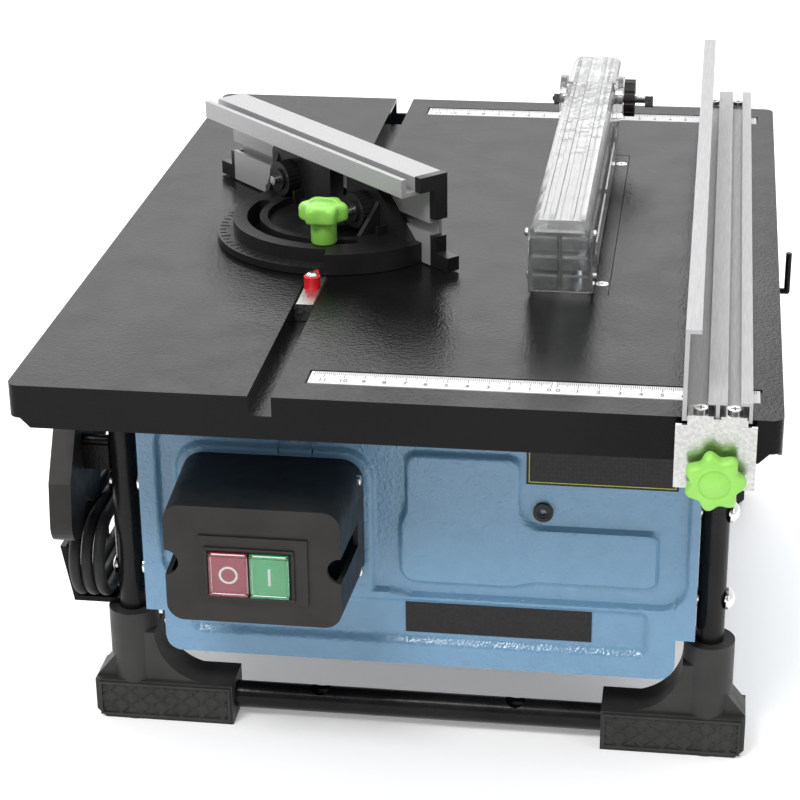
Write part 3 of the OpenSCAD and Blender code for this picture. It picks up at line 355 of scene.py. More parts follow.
class Builder:
    """Collects closed solids in one mesh, in millimetres of the table's frame."""

    def __init__(self, place=at):
        self.verts, self.faces, self.place = [], [], place

    def add(self, verts, faces):
        n = len(self.verts)
        self.verts += [self.place(*v) for v in verts]
        self.faces += [tuple(i + n for i in f) for f in faces]

    def box(self, x, y, z):
        corners = [(a, b, c) for c in z for b in y for a in x]
        self.add(corners, [(0, 2, 3, 1), (4, 5, 7, 6), (0, 1, 5, 4), (2, 6, 7, 3), (0, 4, 6, 2),
                           (1, 3, 7, 5)])

    def prism(self, outline, axis, lo, hi):
        """outline in the two other axes, in X, Y, Z order, thick along axis."""
        n = len(outline)
        ring = []
        for w in (lo, hi):
            for u, v in outline:
                ring.append({"x": (w, u, v), "y": (u, w, v), "z": (u, v, w)}[axis])
        self.add(ring, [tuple(range(n)), tuple(range(n, 2 * n))]
                 + [(i, (i + 1) % n, (i + 1) % n + n, i + n) for i in range(n)])

    def lathe(self, centre, axis, profile, sides=48, lobes=None):
        """profile is (radius, distance along axis); lobes(angle, radius) scales the radius."""
        rings = []
        for r, w in profile:
            ring = []
            for k in range(sides):
                a = 2 * math.pi * k / sides
                rr = r * (lobes(a, r) if lobes else 1)
                c, s = rr * math.cos(a), rr * math.sin(a)
                ring.append({"x": (w, c, s), "y": (c, w, s), "z": (c, s, w)}[axis])
            rings.append([tuple(p + q for p, q in zip(centre, v)) for v in ring])
        verts = [v for ring in rings for v in ring]
        faces = []
        for j in range(len(rings) - 1):
            for k in range(sides):
                k2 = (k + 1) % sides
                low, high = j * sides, (j + 1) * sides
                faces.append((low + k, low + k2, high + k2, high + k))
        faces.append(tuple(range(sides)))
        faces.append(tuple(range((len(rings) - 1) * sides, len(rings) * sides)))
        self.add(verts, faces)

    def ring(self, centre, axis, radii, span, sides=40):
        """A flat ring between two radii, thick over span along the axis."""
        corners = [(radii[1], span[0]), (radii[1], span[1]), (radii[0], span[1]), (radii[0], span[0])]
        verts, faces = [], []
        for k in range(sides):
            a = 2 * math.pi * k / sides
            for r, w in corners:
                c, s = r * math.cos(a), r * math.sin(a)
                v = {"x": (w, c, s), "y": (c, w, s), "z": (c, s, w)}[axis]
                verts.append(tuple(p + q for p, q in zip(centre, v)))
        for k in range(sides):
            for m in range(4):
                a, b = k * 4 + m, k * 4 + (m + 1) % 4
                c, d = ((k + 1) % sides) * 4 + (m + 1) % 4, ((k + 1) % sides) * 4 + m
                faces.append((a, b, c, d))
        self.add(verts, faces)

    def border(self, x, z, width, y):
        """A rectangular frame in the XZ plane, made of four bars."""
        self.box((x[0], x[1]), y, (z[0], z[0] + width))
        self.box((x[0], x[1]), y, (z[1] - width, z[1]))
        self.box((x[0], x[0] + width), y, (z[0] + width, z[1] - width))
        self.box((x[1] - width, x[1]), y, (z[0] + width, z[1] - width))

    def figures(self, text, x, y, z, size, height):
        """Raised figures lying on a level surface, read from the front."""
        data = bpy.data.curves.new("figures", "FONT")
        data.body = text
        data.size = size
        data.align_x = "CENTER"
        data.align_y = "CENTER"
        data.extrude = height / 2
        data.resolution_u = 3
        obj = bpy.data.objects.new("figures", data)
        bpy.context.scene.collection.objects.link(obj)
        graph = bpy.context.evaluated_depsgraph_get()
        mesh = bpy.data.meshes.new_from_object(obj.evaluated_get(graph))
        self.add([(x + v.co.x, y + v.co.y, z + v.co.z) for v in mesh.vertices],
                 [tuple(p.vertices) for p in mesh.polygons])
        bpy.data.objects.remove(obj)
        bpy.data.curves.remove(data)
        bpy.data.meshes.remove(mesh)

    def make(self, name, body, slot, mat=None, angle=None, bevel=None, segments=2, weld=False):
        obj = mesh_object(name, self.verts, self.faces, weld)
        if angle:
            shade(obj, angle)
        if bevel:
            round_edges(obj, bevel, segments)
        return finish_piece(obj, body, slot, mat)


def tube_curve(name, points, radius_mm):
    data = bpy.data.curves.new(name, "CURVE")
    data.dimensions = "3D"
    data.bevel_depth = radius_mm * MM
    data.bevel_resolution = 4
    data.use_fill_caps = True
    line = data.splines.new("POLY")
    line.points.add(len(points) - 1)
    for p, v in zip(line.points, points):
        p.co = (*v, 1)
    obj = bpy.data.objects.new(name, data)
    bpy.context.scene.collection.objects.link(obj)
    return obj


def smooth_path(points, step):
    """Catmull-Rom line through the given points, with about step mm between the points that it gives."""
    pts = [Vector(p) for p in points]
    out = []
    for i in range(len(pts) - 1):
        a, b, c, d = pts[max(i - 1, 0)], pts[i], pts[i + 1], pts[min(i + 2, len(pts) - 1)]
        n = max(2, int((c - b).length / step))
        for k in range(n):
            t = k / n
            out.append(0.5 * (2 * b + (c - a) * t + (2 * a - 5 * b + 4 * c - d) * t * t
                              + (3 * b - a - 3 * c + d) * t ** 3))
    out.append(pts[-1])
    return out


# ---------------------------------------------------------------- mains cord
CORD_D = 6.5
PATH_STEP = 3
FOLD_R = 21.5
FOLD_STEPS = 16
RUN_STEPS = 6
HANK_Y = (106.75, 236.75)
HANK_LOW = -165.5
HANK_MID = HANK_LOW + FOLD_R
HANK_HIGH = HANK_LOW + 2 * FOLD_R
TURN_X = (-247.7, -254.4, -261.1)
CORD_TAIL = [(-196, 443, -155.5), (-197, 454, -156.5), (-203, 465, -158), (-213, 473, -159.5),
             (-224, 476, -161), (-235, 473, -162.5), (-244, 465, -163.5), (-249, 452, -164.5),
             (-250, 436, -165.2), (-249, 416, -165.5), (-248, 395, -165.5), (-248, 372, -166.2),
             (-248, 348, -167.2), (-248, 324, -167.8), (-248, 300, -167.6), (-248, 278, -166.7),
             (-247.7, 254, -165.6)]
PLUG_X = -241
PLUG_Y = 172
PLUG_Z = HANK_HIGH + CORD_D / 2 + 17
# Radius and distance behind PLUG_Y
PLUG_SHAPE = [(3.6, -6), (4.4, -5), (4.6, 2), (5.6, 8), (6.0, 14), (8.5, 18), (13, 22), (15.6, 27),
              (16.8, 34), (17, 42), (17, 49), (16.4, 50)]
PIN_SHAPE = [(2.4, 50), (2.4, 67), (1.9, 68.5), (0.8, 69)]
PIN_APART = 19.0
SLEEVE_RINGS = 4
RING_PITCH = 4
TIE_T = 1.4
TIE_Y = (158, 166)
TIE_GAP = 0.3
TIE_CORNER = 4
TIE_STEPS = 4


def fold(x0, x1, y, start):
    """Half a turn of the hank: start -90 goes round the front end, 90 round the back."""
    side = -1 if start < 0 else 1
    points = []
    for k in range(1, FOLD_STEPS):
        t = k / FOLD_STEPS
        a = math.radians(start - 180 * t)
        points.append((x0 + (x1 - x0) * t, y + side * abs(FOLD_R * math.cos(a)),
                       HANK_MID + side * FOLD_R * math.cos(math.pi * t)))
    return points


def run(x, z, y0, y1):
    return [(x, y0 + (y1 - y0) * k / RUN_STEPS, z) for k in range(RUN_STEPS + 1)]


def cord_route():
    """Round the rear leg, three turns of the hank, and up to the plug that lies on it."""
    route = list(CORD_TAIL)
    for i, x in enumerate(TURN_X):
        route += run(x, HANK_LOW, HANK_Y[1], HANK_Y[0])
        route += fold(x, x, HANK_Y[0], -90)
        if i < len(TURN_X) - 1:
            route += run(x, HANK_HIGH, HANK_Y[0], HANK_Y[1])
            route += fold(x, TURN_X[i + 1], HANK_Y[1], 90)
    last = TURN_X[-1]
    route += [(last, HANK_Y[0], HANK_HIGH), (last + 0.6, 118, HANK_HIGH + 1.2),
              (-257, 132, HANK_HIGH + 7), (-250, 146, HANK_HIGH + 14), (-244, 158, HANK_HIGH + 18.5),
              (PLUG_X, PLUG_Y + 2, PLUG_Z)]
    return route


def make_plug():
    b = Builder()
    b.lathe((PLUG_X, 0, PLUG_Z), "y", [(r, PLUG_Y + w) for r, w in PLUG_SHAPE])
    for k in range(SLEEVE_RINGS):
        y = PLUG_Y - 3 + RING_PITCH * k
        r = 5.6 + 0.2 * k
        b.lathe((PLUG_X, 0, PLUG_Z), "y", [(4.6, y), (r, y + 0.4), (r, y + 1.8), (4.6, y + 2.2)])
    plug = b.make("mains_plug", "frame", "cord_rubber", angle=40)
    b = Builder()
    for dz in (-PIN_APART / 2, PIN_APART / 2):
        b.lathe((PLUG_X, 0, PLUG_Z + dz), "y", [(r, PLUG_Y + w) for r, w in PIN_SHAPE], 20)
    pins = b.make("plug_pins", "frame", "screw_steel", angle=40)
    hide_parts("cord_plug")
    return plug, pins


def make_tie():
    """A flat rubber band round the hank."""
    reach = CORD_D / 2 + TIE_GAP
    x = (TURN_X[-1] - reach + TIE_CORNER, TURN_X[0] + reach - TIE_CORNER)
    z = (HANK_LOW - reach + TIE_CORNER, HANK_HIGH + reach - TIE_CORNER)
    outer, inner = [], []
    for cx, cz, start in ((x[1], z[1], 0), (x[0], z[1], 90), (x[0], z[0], 180), (x[1], z[0], 270)):
        for k in range(TIE_STEPS + 1):
            a = math.radians(start + 90 * k / TIE_STEPS)
            inner.append((cx + TIE_CORNER * math.cos(a), cz + TIE_CORNER * math.sin(a)))
            outer.append((cx + (TIE_CORNER + TIE_T) * math.cos(a), cz + (TIE_CORNER + TIE_T) * math.sin(a)))
    n = len(inner)
    verts = [(p[0], y, p[1]) for y in TIE_Y for p in inner + outer]
    faces = []
    for i in range(n):
        j = (i + 1) % n
        faces += [(i, j, n + j, n + i), (2 * n + i, 3 * n + i, 3 * n + j, 2 * n + j),
                  (i, 2 * n + i, 2 * n + j, j), (n + i, n + j, 3 * n + j, 3 * n + i)]
    b = Builder()
    b.add(verts, faces)
    b.make("cord_tie", "frame", "cord_rubber", angle=40)


def make_cord():
    points = [at(*p) for p in smooth_path(cord_route(), PATH_STEP)]
    cord = tube_curve("mains_cord", points, CORD_D / 2)
    finish_piece(cord, "frame", "cord_rubber")
    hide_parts("cord_tail", "cord_hank")
    list(make_plug())
    make_tie()


make_cord()


# ---------------------------------------------------------------- floor and light
FLOOR_SPAN = (-4000, 4000)
FLOOR_T = 2
FLOOR_GLOW = 0.22
WORLD_FADE = (("From Min", -0.9), ("From Max", 0.2), ("To Min", 0.3), ("To Max", 1.0))


def make_floor():
    b = Builder()
    b.box(FLOOR_SPAN, FLOOR_SPAN, (FLOOR - FLOOR_T, FLOOR))
    floor = mesh_object("floor", b.verts, b.faces)
    s = Shader("pale_floor", (0.93, 0.93, 0.93), 0.65)
    s.tint(s.noise(3, 2), (0.92, 0.92, 0.92), (0.94, 0.94, 0.94))
    s.bsdf.inputs["Emission Color"].default_value = (1, 1, 1, 1)
    s.bsdf.inputs["Emission Strength"].default_value = FLOOR_GLOW
    floor.data.materials.append(s.mat)


def make_world():
    """White all round, and dimmer behind the camera."""
    world = bpy.data.worlds.new("studio")
    bpy.context.scene.world = world
    world.use_nodes = True
    nodes, links = world.node_tree.nodes, world.node_tree.links
    split = nodes.new("ShaderNodeSeparateXYZ")
    links.new(nodes.new("ShaderNodeTexCoord").outputs["Generated"], split.inputs["Vector"])
    dim = nodes.new("ShaderNodeMapRange")
    for key, value in WORLD_FADE:
        dim.inputs[key].default_value = value
    links.new(split.outputs["Y"], dim.inputs["Value"])
    links.new(dim.outputs["Result"], nodes["Background"].inputs["Strength"])
    nodes["Background"].inputs["Color"].default_value = (1, 1, 1, 1)


def soft_light(name, place, target, size, power):
    data = bpy.data.lights.new(name, "AREA")
    data.shape = "RECTANGLE"
    data.size, data.size_y = size
    data.energy = power
    obj = bpy.data.objects.new(name, data)
    bpy.context.scene.collection.objects.link(obj)
    obj.location = place
    obj.rotation_euler = (Vector(target) - Vector(place)).to_track_quat("-Z", "Y").to_euler()


make_floor()
make_world()
soft_light("key_light", (-0.5, -1.25, 1.6), (0, 0, 0.1), (0.7, 0.5), 24)
soft_light("top_light", (0.2, 0.1, 2.0), (0, 0, 0.1), (0.9, 0.9), 9)
soft_light("back_light", (-0.6, 2.2, 1.6), (0, 0, 0.2), (2.0, 1.3), 16)
soft_light("side_light", (1.7, -1.1, 0.8), (0, 0, 0.1), (0.6, 0.8), 5)
bpy.context.scene.view_settings.view_transform = "Standard"


# ---------------------------------------------------------------- front panel
def rounded_box(x, z, x0, x1, z0, z1, r):
    """Signed distance to a rounded rectangle, below zero inside."""
    dx = abs(x - (x0 + x1) / 2) - (x1 - x0) / 2 + r
    dz = abs(z - (z0 + z1) / 2) - (z1 - z0) / 2 + r
    return math.hypot(max(dx, 0), max(dz, 0)) + min(max(dx, dz), 0) - r


def soft_min(a, b, k):
    h = max(k - abs(a - b), 0) / k
    return min(a, b) - h * h * k / 4


def ramp(d, width):
    t = min(max(-d / width, 0), 1)
    return t * t * (3 - 2 * t)


PRESS = 3.2
WALL = 2.3
LOW_WALL = 5
# Pressed shapes as X from and to, Z from and to, and corner radius
FIELD = ((-213, 66, -147, -54, 13), (-90, 66, -147, -18, 13))
ISLAND = ((-81, -19.5, -138, -64.5, 7), (-81, 52.5, -138, -104, 6))
SWITCH_PAD = (-203, -96.5, -160, -64.5, 17)
LOW_FIELD = (-199, 49, -178.5, -149.5, 6)
FIELD_BLEND = 8
ISLAND_BLEND = 14


def front_relief(x, z):
    """How far the sheet stands out: sunk in the two fields, level with the rim on island and pad."""
    field = soft_min(rounded_box(x, z, *FIELD[0]), rounded_box(x, z, *FIELD[1]), FIELD_BLEND)
    island = soft_min(rounded_box(x, z, *ISLAND[0]), rounded_box(x, z, *ISLAND[1]), ISLAND_BLEND)
    pad = rounded_box(x, z, *SWITCH_PAD)
    low = rounded_box(x, z, *LOW_FIELD)
    height = max(1 - ramp(field, WALL), ramp(island, WALL), ramp(pad, WALL))
    return PRESS * height * (1 - ramp(low, LOW_WALL))


def relief_panel(x, top, bottom, y, out, height, step=1.0, thick=1.4):
    """A pressed sheet in the XZ plane between top(x) and bottom(x); out is -1 where it faces the front."""
    nx = max(1, round((x[1] - x[0]) / step))
    xs = [x[0] + (x[1] - x[0]) * i / nx for i in range(nx + 1)]
    middle = (x[0] + x[1]) / 2
    nz = round((top(middle) - bottom(middle)) / step)
    front, back = [], []
    for xx in xs:
        for j in range(nz + 1):
            zz = top(xx) + (bottom(xx) - top(xx)) * j / nz
            yy = y + out * height(xx, zz)
            front.append((xx, yy, zz))
            back.append((xx, yy - out * thick, zz))
    w = nz + 1
    n = len(front)
    faces = []
    for i in range(nx):
        for j in range(nz):
            a = i * w + j
            faces.append((a, a + 1, a + w + 1, a + w))
            faces.append((n + a, n + a + w, n + a + w + 1, n + a + 1))
    rim = [i * w for i in range(nx + 1)] + [nx * w + j for j in range(1, w)]
    rim += [i * w + nz for i in range(nx - 1, -1, -1)] + list(range(nz - 1, 0, -1))
    for p, q in zip(rim, rim[1:] + rim[:1]):
        faces.append((p, q, n + q, n + p))
    return front + back, faces


SLOT_X = -137.75
SLOT_HALF = 9.3
PANEL_TOP = -2.0
SLOT_FLOOR = -12.4
NOTCH = 10
NOTCH_H = 24
CORNER_R = 9


def panel_top(x):
    """The panel's upper edge, with room for the miter channel."""
    return SLOT_FLOOR if abs(x - SLOT_X) < SLOT_HALF else PANEL_TOP


def make_front_panel():
    lo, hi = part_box("front_panel")
    x0, x1 = (lo[0] - BLADE_X) / MM, (hi[0] - BLADE_X) / MM
    y = (lo[1] - FRONT_Y) / MM
    z0 = (lo[2] - TOP_Z) / MM

    def bottom(x):
        inset = min(x - x0 - NOTCH, x1 - NOTCH - x)
        if inset >= CORNER_R:
            return z0
        return z0 + CORNER_R - math.sqrt(max(0, CORNER_R ** 2 - (CORNER_R - inset) ** 2))

    b = Builder()
    b.add(*relief_panel((x0 + NOTCH, x1 - NOTCH), panel_top, bottom, y, -1, front_relief))
    for edge in ((x0, x0 + NOTCH), (x1 - NOTCH, x1)):
        b.add(*relief_panel(edge, panel_top, lambda x: z0 + NOTCH_H, y, -1, front_relief))
    panel = b.make("front_panel_pressing", "frame", "blue_enamel", angle=50)
    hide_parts("front_panel")


make_front_panel()


# ---------------------------------------------------------------- scales on the table
SCALE_Y = (20.0, 470.8)
SCALE_W = 14.2
SCALE_TOP = -0.15
INK_T = 0.08
ZERO_X = 1.3
TICK_W = 0.3
TICKS_RIGHT = 94
TICKS_LEFT = 115
TICK_INSET = 0.3
FIGURE_SIZE = 4.6
FIGURE_Y = 4.1
ZERO_APART = 0.8


def tick_length(i):
    """Long at each centimetre, middling at each half."""
    return 6.4 if i % 10 == 0 else 4.8 if i % 5 == 0 else 3.2


def make_scales():
    b = Builder()
    z = (SCALE_TOP - INK_T, SCALE_TOP + INK_T)
    for y in SCALE_Y:
        edge = y + SCALE_W - TICK_INSET
        for side, count in ((1, TICKS_RIGHT), (-1, TICKS_LEFT)):
            for i in range(count + 1):
                x = side * (ZERO_X + i)
                b.box((x - TICK_W / 2, x + TICK_W / 2), (edge - tick_length(i), edge), z)
    b.make("scale_ticks", "frame", "plate_print", PRINT_AND_RECESS_SHADE_INK)
    b = Builder()
    for y in SCALE_Y:
        for side, count in ((1, TICKS_RIGHT), (-1, TICKS_LEFT)):
            for n in range(count // 10 + 1):
                x = side * (ZERO_X + 10 * n + (0 if n else ZERO_APART))
                b.figures(str(n), x, y + FIGURE_Y, SCALE_TOP, FIGURE_SIZE, 2 * INK_T)
    b.make("scale_figures", "frame", "plate_print", PRINT_AND_RECESS_SHADE_INK, weld=True)


make_scales()


# ---------------------------------------------------------------- switch
BUTTONS = {"off": (-171.6, -152.0), "on": (-150.6, -131.0)}
BUTTON_Z = (-120.6, -97.3)
BUTTON_FACE = 22.5
SYMBOL_Y = (BUTTON_FACE - 0.15, BUTTON_FACE + 0.2)
OFF_RING = (3.7, 4.9)
ON_BAR = (0.65, 4.8)
CAP_T = 0.8
RIM_OUT = 0.1
RIM_W = 1.3
CAP_IN = 1.25
SEAL_X = (-174.4, -128.2)
SEAL_Y = (23.4, 24.8)
SEAL_Z = (-123.3, -94.6)
SEAL_W = 1.9
SCREW_Y = 76
SCREW_Z = (-78.5, -131.5)
SCREW_SHAPE = [(2.9, -104.6), (2.9, -102.6), (2.3, -101.9), (1.2, -101.6)]


def make_button(key, x0, x1):
    """The sign, the raised rim and the window of one button's clear cap."""
    body = "button_" + key
    z0, z1 = BUTTON_Z
    mid_x, mid_z = (x0 + x1) / 2, (z0 + z1) / 2
    b = Builder()
    if key == "off":
        b.ring((mid_x, 0, mid_z), "y", OFF_RING, SYMBOL_Y)
    else:
        b.box((mid_x - ON_BAR[0], mid_x + ON_BAR[0]), SYMBOL_Y, (mid_z - ON_BAR[1], mid_z + ON_BAR[1]))
    b.make("symbol_" + key, body, "scale", WHITE_INK)
    b = Builder()
    b.border((x0 - RIM_OUT, x1 + RIM_OUT), (z0 - RIM_OUT, z1 + RIM_OUT), RIM_W,
             (BUTTON_FACE - CAP_T - 0.3, BUTTON_FACE - 0.02))
    b.make("cap_rim_" + key, body, "clear_plastic", CLEAR_CAP)
    b = Builder()
    b.box((x0 + CAP_IN, x1 - CAP_IN), (BUTTON_FACE - CAP_T, BUTTON_FACE - 0.25), (z0 + CAP_IN, z1 - CAP_IN))
    b.make("cap_" + key, body, "clear_plastic", CLEAR_CAP, bevel=0.2)


def make_switch():
    for key, (x0, x1) in BUTTONS.items():
        make_button(key, x0, x1)
    b = Builder()
    b.border(SEAL_X, SEAL_Z, SEAL_W, SEAL_Y)
    b.make("switch_seal", "frame", "black_plastic", bevel=0.5)
    b = Builder()
    for z in SCREW_Z:
        b.lathe((0, SCREW_Y, z), "x", SCREW_SHAPE, 24)
    b.make("switch_screws", "frame", "screw_steel", angle=40)


make_switch()


# ---------------------------------------------------------------- plates on the front panel
PANEL_FACE = (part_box("front_panel")[0][1] - FRONT_Y) / MM
PLATE_T = 0.6
PLATE_FACE = PANEL_FACE - PLATE_T
DATA_PLATE = ((-17.5, 60.5), (-80.5, -30))
NAME_PLATE = ((-81, 18), (-171.5, -152))
BORDER_IN = 1.2
BORDER_W = 0.45
DOT_START = (-13.5, -77)
DOT_PITCH = (2.1, 2.3)
DOT_COUNT = (34, 19)
DOT_HALF = 0.14


def make_plates():
    b = Builder()
    for x, z in (DATA_PLATE, NAME_PLATE):
        b.box(x, (PLATE_FACE, PANEL_FACE - 0.02), z)
    plates = b.make("blank_plates_print", "frame", "plate_print", bevel=0.12)
    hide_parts("blank_plates")
    b = Builder()
    inner = [(low + BORDER_IN, high - BORDER_IN) for low, high in DATA_PLATE]
    b.border(*inner, BORDER_W, (PLATE_FACE - 0.05, PLATE_FACE + 0.1))
    b.make("plate_border", "frame", "plate_print", LIME_INK)
    b = Builder()
    for i in range(DOT_COUNT[0]):
        for j in range(DOT_COUNT[1]):
            x, z = DOT_START[0] + DOT_PITCH[0] * i, DOT_START[1] + DOT_PITCH[1] * j
            b.box((x - DOT_HALF, x + DOT_HALF), (PLATE_FACE - 0.03, PLATE_FACE + 0.1),
                  (z - DOT_HALF, z + DOT_HALF))
    b.make("plate_dots", "frame", "plate_print", GREY_INK)


make_plates()


# ---------------------------------------------------------------- feet
LEG_X = (-234.0, 80.0)
LEG_Y = (100.0, 405.0)
FOOT_HALF = 13.0
FOOT_TOP = 24.0
TREAD_X = 11.5
TREAD_Z = 9.0
TREAD_RISE = 0.9
RIB_FROM = 0.41
RIB_EDGE = 0.05
TREAD_LOW = FLOOR + 3.4
TREAD_HIGH = FLOOR + FOOT_TOP - 2.6
TREAD_OUTER = 17.5
TREAD_INNER = 53.5
TREAD_FRAME = 1.3


def tread(x, z):
    """Thin crossing ribs with flat lozenges between them."""
    u = abs((x / TREAD_X + z / TREAD_Z) % 1 - 0.5)
    v = abs((x / TREAD_X - z / TREAD_Z) % 1 - 0.5)
    return TREAD_RISE * min(1, max(0, (max(u, v) - RIB_FROM) / RIB_EDGE))


def make_treads():
    b = Builder()
    for leg, side in ((LEG_X[0], -1), (LEG_X[1], 1)):
        x = sorted((leg + side * TREAD_OUTER, leg - side * TREAD_INNER))
        for y, out in ((LEG_Y[0] - FOOT_HALF, -1), (LEG_Y[1] + FOOT_HALF, 1)):
            b.add(*relief_panel(x, lambda v: TREAD_HIGH, lambda v: TREAD_LOW, y + out * 0.1, out, tread,
                                0.65, 0.5))
            b.border((x[0] - TREAD_FRAME, x[1] + TREAD_FRAME),
                     (TREAD_LOW - TREAD_FRAME, TREAD_HIGH + TREAD_FRAME), TREAD_FRAME,
                     sorted((y - out * 0.2, y + out * 1.2)))
    b.make("foot_treads", "frame", "foot_plastic", angle=40)


make_treads()


# ---------------------------------------------------------------- knobs
def lobed(n, depth, r_full, r_round):
    """Scale for a lathe: n lobes at r_full that die out towards r_round."""
    def scale(a, r):
        share = min(1, max(0, (r - r_round) / (r_full - r_round)))
        return 1 - share * depth / r_full * (1 - math.cos(n * a)) / 2
    return scale


KNOB_SIDES = 112
FENCE_KNOB_AT = (77.4, 0, -25.5)
# Radius and place along the knob's axis
FENCE_KNOB_SHAPE = [(7.4, -6.9), (7.6, -7.4), (7.6, -9.7), (12.2, -9.8), (13.8, -10.3), (14.6, -11.6),
                    (14.6, -15.4), (14.1, -16.9), (12.8, -18.1), (11, -18.5), (7.6, -18.6), (7.2, -18.1),
                    (6.5, -18.1), (6.1, -18.5)]
FENCE_STUD_SHAPE = [(2.0, 10), (2.5, 9.5), (2.5, -6.8)]
GAUGE_KNOB_AT = (SLOT_X, 184, 0)
GAUGE_KNOB_SHAPE = [(6.8, 12.3), (7.1, 12.8), (7.1, 24.6), (11.2, 24.9), (13, 25.5), (13.6, 26.8),
                    (13.6, 31.4), (13.1, 33), (11.8, 34.2), (10, 34.5), (7.4, 34.6), (7.0, 34.1),
                    (6.3, 34.1), (5.9, 34.5)]
GAUGE_STUD_SHAPE = [(2.6, -6.6), (3.0, -6.2), (3.0, 12.4)]


def make_knob(name, body, centre, axis, shape, stud_shape, lobes):
    """A green knob in place of the CAD node called name, and the steel stud under it."""
    b = Builder()
    b.lathe(centre, axis, shape, KNOB_SIDES, lobes)
    knob = b.make("green_" + name, body, "green_plastic", angle=50)
    b = Builder()
    b.lathe(centre, axis, stud_shape, 24)
    b.make(name + "_stud", body, "bright_steel", angle=40)
    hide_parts(name)


make_knob("fence_knob", "fence_clamp", FENCE_KNOB_AT, "y", FENCE_KNOB_SHAPE, FENCE_STUD_SHAPE,
          lobed(7, 3.2, 14.6, 8.2))
make_knob("gauge_knob", "gauge_lock", GAUGE_KNOB_AT, "z", GAUGE_KNOB_SHAPE, GAUGE_STUD_SHAPE,
          lobed(6, 3.0, 13.6, 7.8))


# ---------------------------------------------------------------- clear guard
GUARD_X = (-23.0, 11.0)
GUARD_TOP = 47.0
GUARD_NOSE = ((146.0, 3.0), (130.0, 43.0))
HALF_X = ((-20.4, -7.4), (-4.6, 8.4))
# Share of the nose's height from and to, and how far the rib stands out
NOSE_RIBS = ((0.05, 0.29, 1.3), (0.36, 0.6, 2.2), (0.67, 0.9, 1.3))
SIDE_RIBS_Y = ((158, 238), (246, 336), (344, 378))
SIDE_RIBS_Z = (13, 27)
SIDE_RIB_T = 1.3
RIB_SUNK = 0.05
GUARD_SCREWS = ((142, 37), (156, 8.5), (440, 37))
HEAD_SHAPE = ((2.1, 0), (2.1, 1.0), (1.5, 1.6), (0.7, 1.8))


def nose(t):
    (y0, z0), (y1, z1) = GUARD_NOSE
    return y0 + (y1 - y0) * t, z0 + (z1 - z0) * t


def make_guard_ribs():
    b = Builder()
    for x in HALF_X:
        for t0, t1, proud in NOSE_RIBS:
            (ya, za), (yb, zb) = nose(t0), nose(t1)
            b.prism([(ya - 0.1, za), (ya - proud, za + 1.1), (yb - proud, zb - 1.1), (yb - 0.1, zb)],
                    "x", x[0], x[1])
        for x0, x1, rise in ((x[0] + 3.2, x[0] + 5.6, 0.7), (x[1] - 4.6, x[1] - 1.2, 1.1)):
            b.prism([(134, GUARD_TOP - RIB_SUNK), (142, GUARD_TOP + rise), (444, GUARD_TOP + rise),
                     (452, GUARD_TOP - RIB_SUNK)], "x", x0, x1)
    left, right = GUARD_X
    for x in ((left - SIDE_RIB_T, left + RIB_SUNK), (right - RIB_SUNK, right + SIDE_RIB_T)):
        for y in SIDE_RIBS_Y:
            b.box(x, y, SIDE_RIBS_Z)
    b.make("guard_ribs", "guard", "clear_plastic", bevel=0.55, segments=3)
    b = Builder()
    for y, z in GUARD_SCREWS:
        for face, out in ((right, 1), (left, -1)):
            b.lathe((0, y, z), "x", [(r, face + out * w) for r, w in HEAD_SHAPE], 20)
    b.make("guard_screws", "guard", "screw_steel", angle=40)


make_guard_ribs()


# ---------------------------------------------------------------- rip fence and gauge details
def cross(b, x, y, z, arm, width, t):
    """A cross recess on a screw's head, as a thin dark inlay of painted shade in place of the hollow."""
    b.box((x - arm, x + arm), (y - width, y + width), (z, z + t))
    b.box((x - width, x + width), (y - arm, y - width), (z, z + t))
    b.box((x - width, x + width), (y + width, y + arm), (z, z + t))


FENCE_SCREWS = ((69.6, 0.0), (85.2, 0.0), (69.6, 503.0), (85.2, 503.0))
SCREW_TOP = 5.4
SHADE_INLAY = 0.02


def make_fence_details():
    b = Builder()
    for x, y in FENCE_SCREWS:
        # Painted shade: dark crosses where the screw heads' recesses would lie in shadow.
        cross(b, x, y, SCREW_TOP - SHADE_INLAY, 1.9, 0.35, 3 * SHADE_INLAY)
    b.make("fence_screw_painted_recess_shade", "rip_fence", "plate_print", PRINT_AND_RECESS_SHADE_INK)


GAUGE_AT = (SLOT_X, 232.0)
GAUGE_TURN = math.radians(-45)
GAUGE_TICKS = 27
TICK_START = 186
TICK_EVERY = 5
TICK_OUTER = 67.0
TICK_HALF = 0.3
GAUGE_TICK_Z = (4.4, 4.75)
HEAD_RIBS = (-52, -36, -20, -4, 12, 28, 44)
HEAD_RIB_T = 1.6
POINTER_SCREW = (SLOT_X, 145.5)
POINTER_SCREW_SHAPE = [(3.3, 6.6), (3.3, 7.4), (2.6, 8.2), (1.3, 8.5)]


def on_gauge(s, n, z):
    """A point s along the gauge's fence and n behind it, from the pivot."""
    c, t = math.cos(GAUGE_TURN), math.sin(GAUGE_TURN)
    return at(GAUGE_AT[0] + s * c - n * t, GAUGE_AT[1] + s * t + n * c, z)


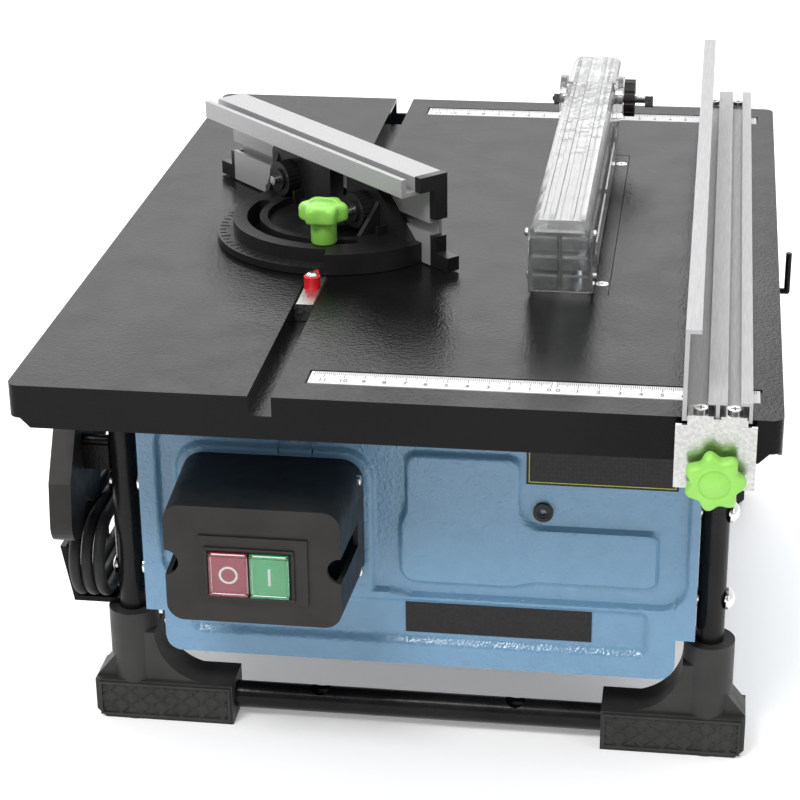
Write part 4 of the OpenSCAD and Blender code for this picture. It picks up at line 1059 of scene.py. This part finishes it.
def make_gauge_details():
    b = Builder(on_gauge)
    for k in range(GAUGE_TICKS):
        a = math.radians(TICK_START + TICK_EVERY * k)
        inner = TICK_OUTER - (5.2 if k % 3 == 0 else 3.4)
        c, s = math.cos(a), math.sin(a)
        corners = ((inner, TICK_HALF), (TICK_OUTER, TICK_HALF),
                   (TICK_OUTER, -TICK_HALF), (inner, -TICK_HALF))
        b.prism([(r * c - w * s, r * s + w * c) for r, w in corners], "z", *GAUGE_TICK_Z)
    for start in HEAD_RIBS:
        b.box((start, start + HEAD_RIB_T), (-6.5, 0.4), (11.9, 17.5))
    b.make("gauge_head_ribs", "gauge_arm", "gauge_plastic")
    x, y = POINTER_SCREW
    b = Builder()
    b.lathe((x, y, 0), "z", POINTER_SCREW_SHAPE, 28)
    b.make("pointer_screw", "gauge_runner", "screw_steel", angle=40)
    b = Builder()
    # Painted shade in the pointer screw's cross recess.
    cross(b, x, y, 8.46, 1.2, 0.3, 0.1)
    b.make("pointer_screw_painted_recess_shade", "gauge_runner", "plate_print", PRINT_AND_RECESS_SHADE_INK)


make_fence_details()
make_gauge_details()

# ---------------------------------------------------------------- finish of the CAD nodes
# Width in millimetres and segments
BEVELS = {
    "table_top": (1.1, 3), "throat_insert": (0.4, 2), "insert_screws": (0.25, 2), "switch_housing": (1.0, 3),
    "switch_bezel": (0.35, 2), "front_feet": (1.2, 3), "rear_feet": (1.2, 3), "leg_bolts": (0.3, 2),
    "height_bush": (0.5, 2), "fence_profile": (0.35, 2), "fence_hooks": (0.3, 2),
    "gauge_bar": (0.3, 2), "gauge_pointer": (0.4, 2), "gauge_head": (0.7, 2), "gauge_fence": (0.35, 2),
    "gauge_end_caps": (0.7, 2), "gauge_bolts": (0.3, 2), "thumb_knob_left": (0.6, 2),
    "thumb_knob_right": (0.6, 2),
    "guard_left": (0.8, 2), "guard_right": (0.8, 2), "guard_bolt": (0.4, 2), "guard_knob": (0.6, 2),
    "push_stick": (1.6, 3), "side_hooks": (0.5, 2), "dust_port": (0.6, 2), "strain_relief": (0.6, 2),
    "off_button": (0.5, 2), "on_button": (0.5, 2), "saw_blade": (0.15, 1), "motor_housing": (0.6, 2),
    "motor_end_cap": (1.0, 2), "lift_carriage": (0.8, 2), "rear_panel": (0.4, 1), "left_panel": (0.4, 1),
    "right_panel": (0.4, 1), "arbor_nut": (0.5, 2), "blade_flanges": (0.5, 2), "shroud_left": (0.5, 2),
    "shroud_right": (0.5, 2), "rod_brackets": (0.4, 2), "riving_knife": (0.3, 2),
}

NODE_MATERIALS = {"gauge_fence": MATERIALS["gauge_alloy"], "height_screw": BLACK_OXIDE}

for node, obj in frame["nodes"].items():
    obj.data.materials.clear()
    obj.data.materials.append(NODE_MATERIALS.get(node, MATERIALS[SLOT_OF[node]]))
    if node in BEVELS:
        round_edges(obj, *BEVELS[node])
